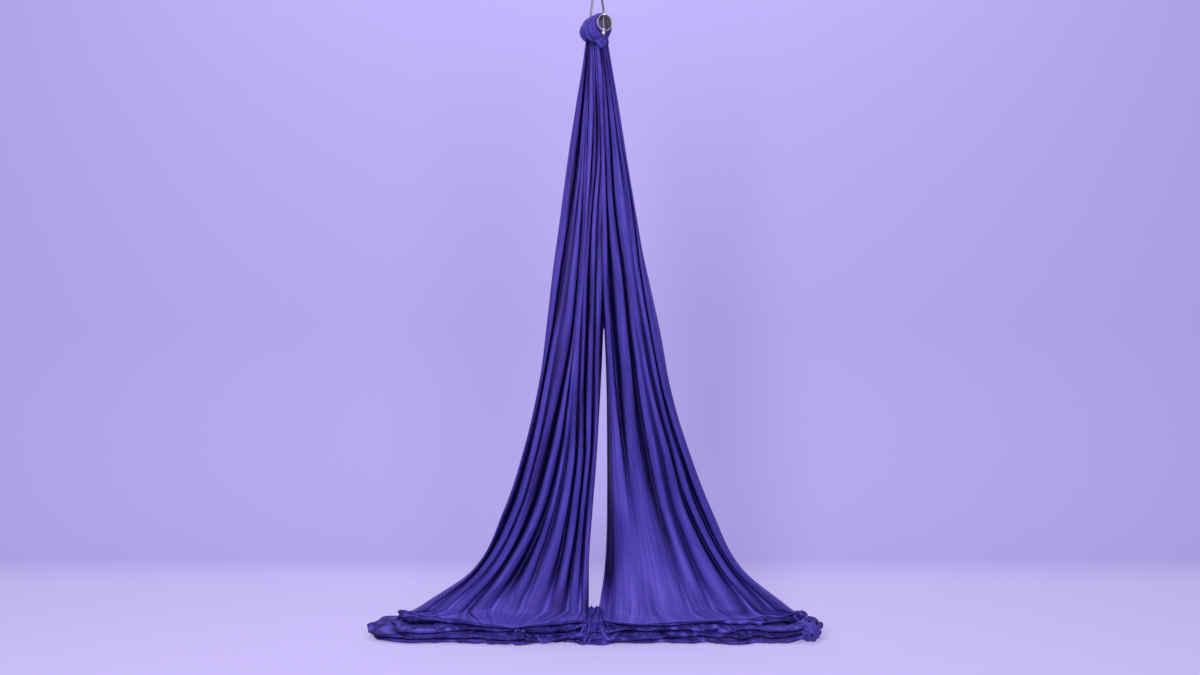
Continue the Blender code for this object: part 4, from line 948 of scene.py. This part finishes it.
def make_end_roll():
    """The right tail's end, rolled up and seen end on, with creases towards its middle."""
    turn, down = np.linspace(0, math.tau, 181), np.linspace(0, 1, 81)
    grid_turn, grid_down = np.meshgrid(turn, down)
    swirl = grid_turn + 1.3 * (1 - grid_down) ** 1.5
    around, beside = 2 * np.cos(swirl), 2 * np.sin(swirl)
    pleats = np.sin(9 * swirl + 1.5 * noise(around + 9, beside + 9, 96))
    lumps = noise(around * 0.6 + 5, beside * 0.6 + 3 * grid_down + 5, 97)
    face = ramp(grid_down, 0.0, 0.42)
    radius = ROLL_RADIUS * (0.12 + 0.88 * np.sin(face * math.pi / 2) ** 0.9)
    between = np.sin(math.pi * np.clip(grid_down * 1.4, 0, 1))
    radius = radius * (1 + 0.07 * lumps) + 0.0032 * pleats * between
    deep = ROLL_DOME * (1 - np.cos(face * math.pi / 2))
    deep = deep - ROLL_EYE * (1 - ramp(grid_down, 0.0, 0.22))
    deep = deep + ROLL_PLEAT * pleats * face * (1 - face) * 2
    back = ROLL_LENGTH * ramp(grid_down, 0.30, 1.0)
    x = ROLL_PLACE[0] + radius * np.cos(grid_turn) - 0.5 * back
    y = ROLL_PLACE[1] + ROLL_DOME + deep + back
    z = FLOOR + ROLL_PLACE[2] + 0.92 * radius * np.sin(grid_turn)
    points = np.stack([x, y, np.maximum(z, FLOOR + ABOVE)], axis=-1)
    uv = np.stack([grid_turn * 0.04, grid_down * 0.2], axis=-1)
    piece = cloth_object("end_roll_cloth", points, uv, -1)
    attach(piece, "silks")


make_loop()
make_band()
make_tail(LEFT, "left_tail_cloth", "left_tail")
make_tail(RIGHT, "right_tail_cloth", "right_tail")
make_slit_ruffle()
make_end_roll()


# Floor, backdrop, light and camera


def seen_rays(tree):
    """1 for the rays by which the background is seen, also in metal and through glass."""
    rays = tree.nodes.new("ShaderNodeLightPath")
    seen = rays.outputs["Is Camera Ray"]
    for kind in ("Is Glossy Ray", "Is Transmission Ray"):
        either = tree.nodes.new("ShaderNodeMath")
        either.operation = "MAXIMUM"
        tree.links.new(seen, either.inputs[0])
        tree.links.new(rays.outputs[kind], either.inputs[1])
        seen = either.outputs["Value"]
    return seen


# The sweep: its front edge, its back, the bend between floor and backdrop, height and half width
SWEEP_FRONT, SWEEP_BACK, SWEEP_BEND, SWEEP_HEIGHT, SWEEP_HALF = -2.6, 2.4, 1.4, 6.0, 9.0
SWEEP_STEPS = 16
BELOW_FLOOR = 0.001
# The paper's colour and its glow, from the floor to PAPER_RISE above it
PAPER_RISE = 1.2
PAPER_COLOURS = (
    (0.0, (0.330, 0.290, 0.500)),
    (0.075, (0.240, 0.208, 0.400)),
    (1.0, (0.240, 0.208, 0.400)),
)
GLOW_COLOURS = (
    (0.0, (0.318, 0.280, 0.500)),
    (0.075, (0.232, 0.203, 0.448)),
    (1.0, (0.246, 0.214, 0.462)),
)


def make_stage():
    """A pale lilac floor that curves up into the backdrop."""
    start = SWEEP_BACK - SWEEP_BEND
    profile = [(SWEEP_FRONT, 0.0), (start, 0.0)]
    for step in range(1, SWEEP_STEPS + 1):
        angle = math.pi / 2 * step / SWEEP_STEPS
        rise = SWEEP_BEND - SWEEP_BEND * math.cos(angle)
        profile.append((start + SWEEP_BEND * math.sin(angle), rise))
    profile.append((SWEEP_BACK, SWEEP_HEIGHT))
    ends = (-SWEEP_HALF, SWEEP_HALF)
    points = np.array([[(x, y, FLOOR - BELOW_FLOOR + z) for x in ends] for y, z in profile])
    shader = Shader("pale_lilac_paper")
    place = shader.node("ShaderNodeNewGeometry")
    split = shader.node("ShaderNodeSeparateXYZ")
    shader.link(place.outputs["Position"], split.inputs["Vector"])
    rise = shader.levels(split.outputs["Z"], 0.0, 1.0, FLOOR, FLOOR + PAPER_RISE)
    shader.feed("Base Color", shader.colours(rise, PAPER_COLOURS))
    shader.feed("Emission Color", shader.colours(rise, GLOW_COLOURS))
    shader.feed("Emission Strength", seen_rays(shader.tree))
    shader.set(Roughness=0.95, Specular_IOR_Level=0.1)
    clear, choice = shader.node("ShaderNodeBsdfTransparent"), shader.node("ShaderNodeMixShader")
    shader.link(place.outputs["Backfacing"], choice.inputs["Fac"])
    shader.link(shader.bsdf.outputs["BSDF"], choice.inputs[1])
    shader.link(clear.outputs["BSDF"], choice.inputs[2])
    shader.link(choice.outputs["Shader"], shader.tree.nodes["Material Output"].inputs["Surface"])
    piece = sheet_object("studio_sweep", points, np.zeros((len(profile), 2, 2)), shader)


# Each light's place and target, with heights above the floor, its size, power and colour
LIGHTS = {
    "key": ((-1.7, -5.8, 2.9), (0, 0, 1.3), (1.5, 1.5), 300, (1.0, 0.98, 1.0)),
    "fill": ((1.7, -5.8, 2.1), (0, 0, 1.3), (1.5, 1.5), 130, (0.96, 0.95, 1.0)),
    "backdrop": ((0.0, 0.9, 5.6), (0, 1.9, 1.0), (6.0, 1.0), 120, (1.0, 0.98, 1.0)),
}


def make_area_light(name, place, target, size, power, colour):
    place, target = [Vector((x, y, FLOOR + z)) for x, y, z in (place, target)]
    data = bpy.data.lights.new(name, "AREA")
    data.shape = "RECTANGLE"
    data.size, data.size_y = size
    data.energy = power
    data.color = colour
    light = bpy.data.objects.new(name, data)
    light.location = place
    light.rotation_euler = (target - place).to_track_quat("-Z", "Y").to_euler()
    bpy.context.scene.collection.objects.link(light)


# The light from all around with its strength, and the background that is seen in its place
AROUND, AROUND_STRENGTH = (0.90, 0.88, 1.0, 1), 0.16
BACKGROUND = (0.47, 0.41, 0.86, 1)


def make_world():
    world = bpy.data.worlds.new("studio")
    bpy.context.scene.world = world
    world.use_nodes = True
    tree = world.node_tree
    light = tree.nodes["Background"]
    light.inputs["Color"].default_value = AROUND
    light.inputs["Strength"].default_value = AROUND_STRENGTH
    pale = tree.nodes.new("ShaderNodeBackground")
    pale.inputs["Color"].default_value = BACKGROUND
    choice = tree.nodes.new("ShaderNodeMixShader")
    tree.links.new(seen_rays(tree), choice.inputs["Fac"])
    tree.links.new(light.outputs["Background"], choice.inputs[1])
    tree.links.new(pale.outputs["Background"], choice.inputs[2])
    tree.links.new(choice.outputs["Shader"], tree.nodes["World Output"].inputs["Surface"])


def make_camera():
    data = bpy.data.cameras.new("camera")
    data.sensor_width = SENSOR_WIDTH
    data.lens = SENSOR_WIDTH * CAMERA_DISTANCE / METRES_PER_PIXEL / PICTURE_WIDTH
    camera = bpy.data.objects.new("camera", data)
    camera.location = (from_left(PICTURE_WIDTH / 2), -CAMERA_DISTANCE, FLOOR + EYE_HEIGHT)
    camera.rotation_euler = (math.pi / 2, 0, 0)
    bpy.context.scene.collection.objects.link(camera)
    bpy.context.scene.camera = camera


make_stage()
make_world()
make_camera()
for light_name, settings in LIGHTS.items():
    make_area_light(light_name, *settings)
bpy.context.scene.view_settings.view_transform = "Standard"
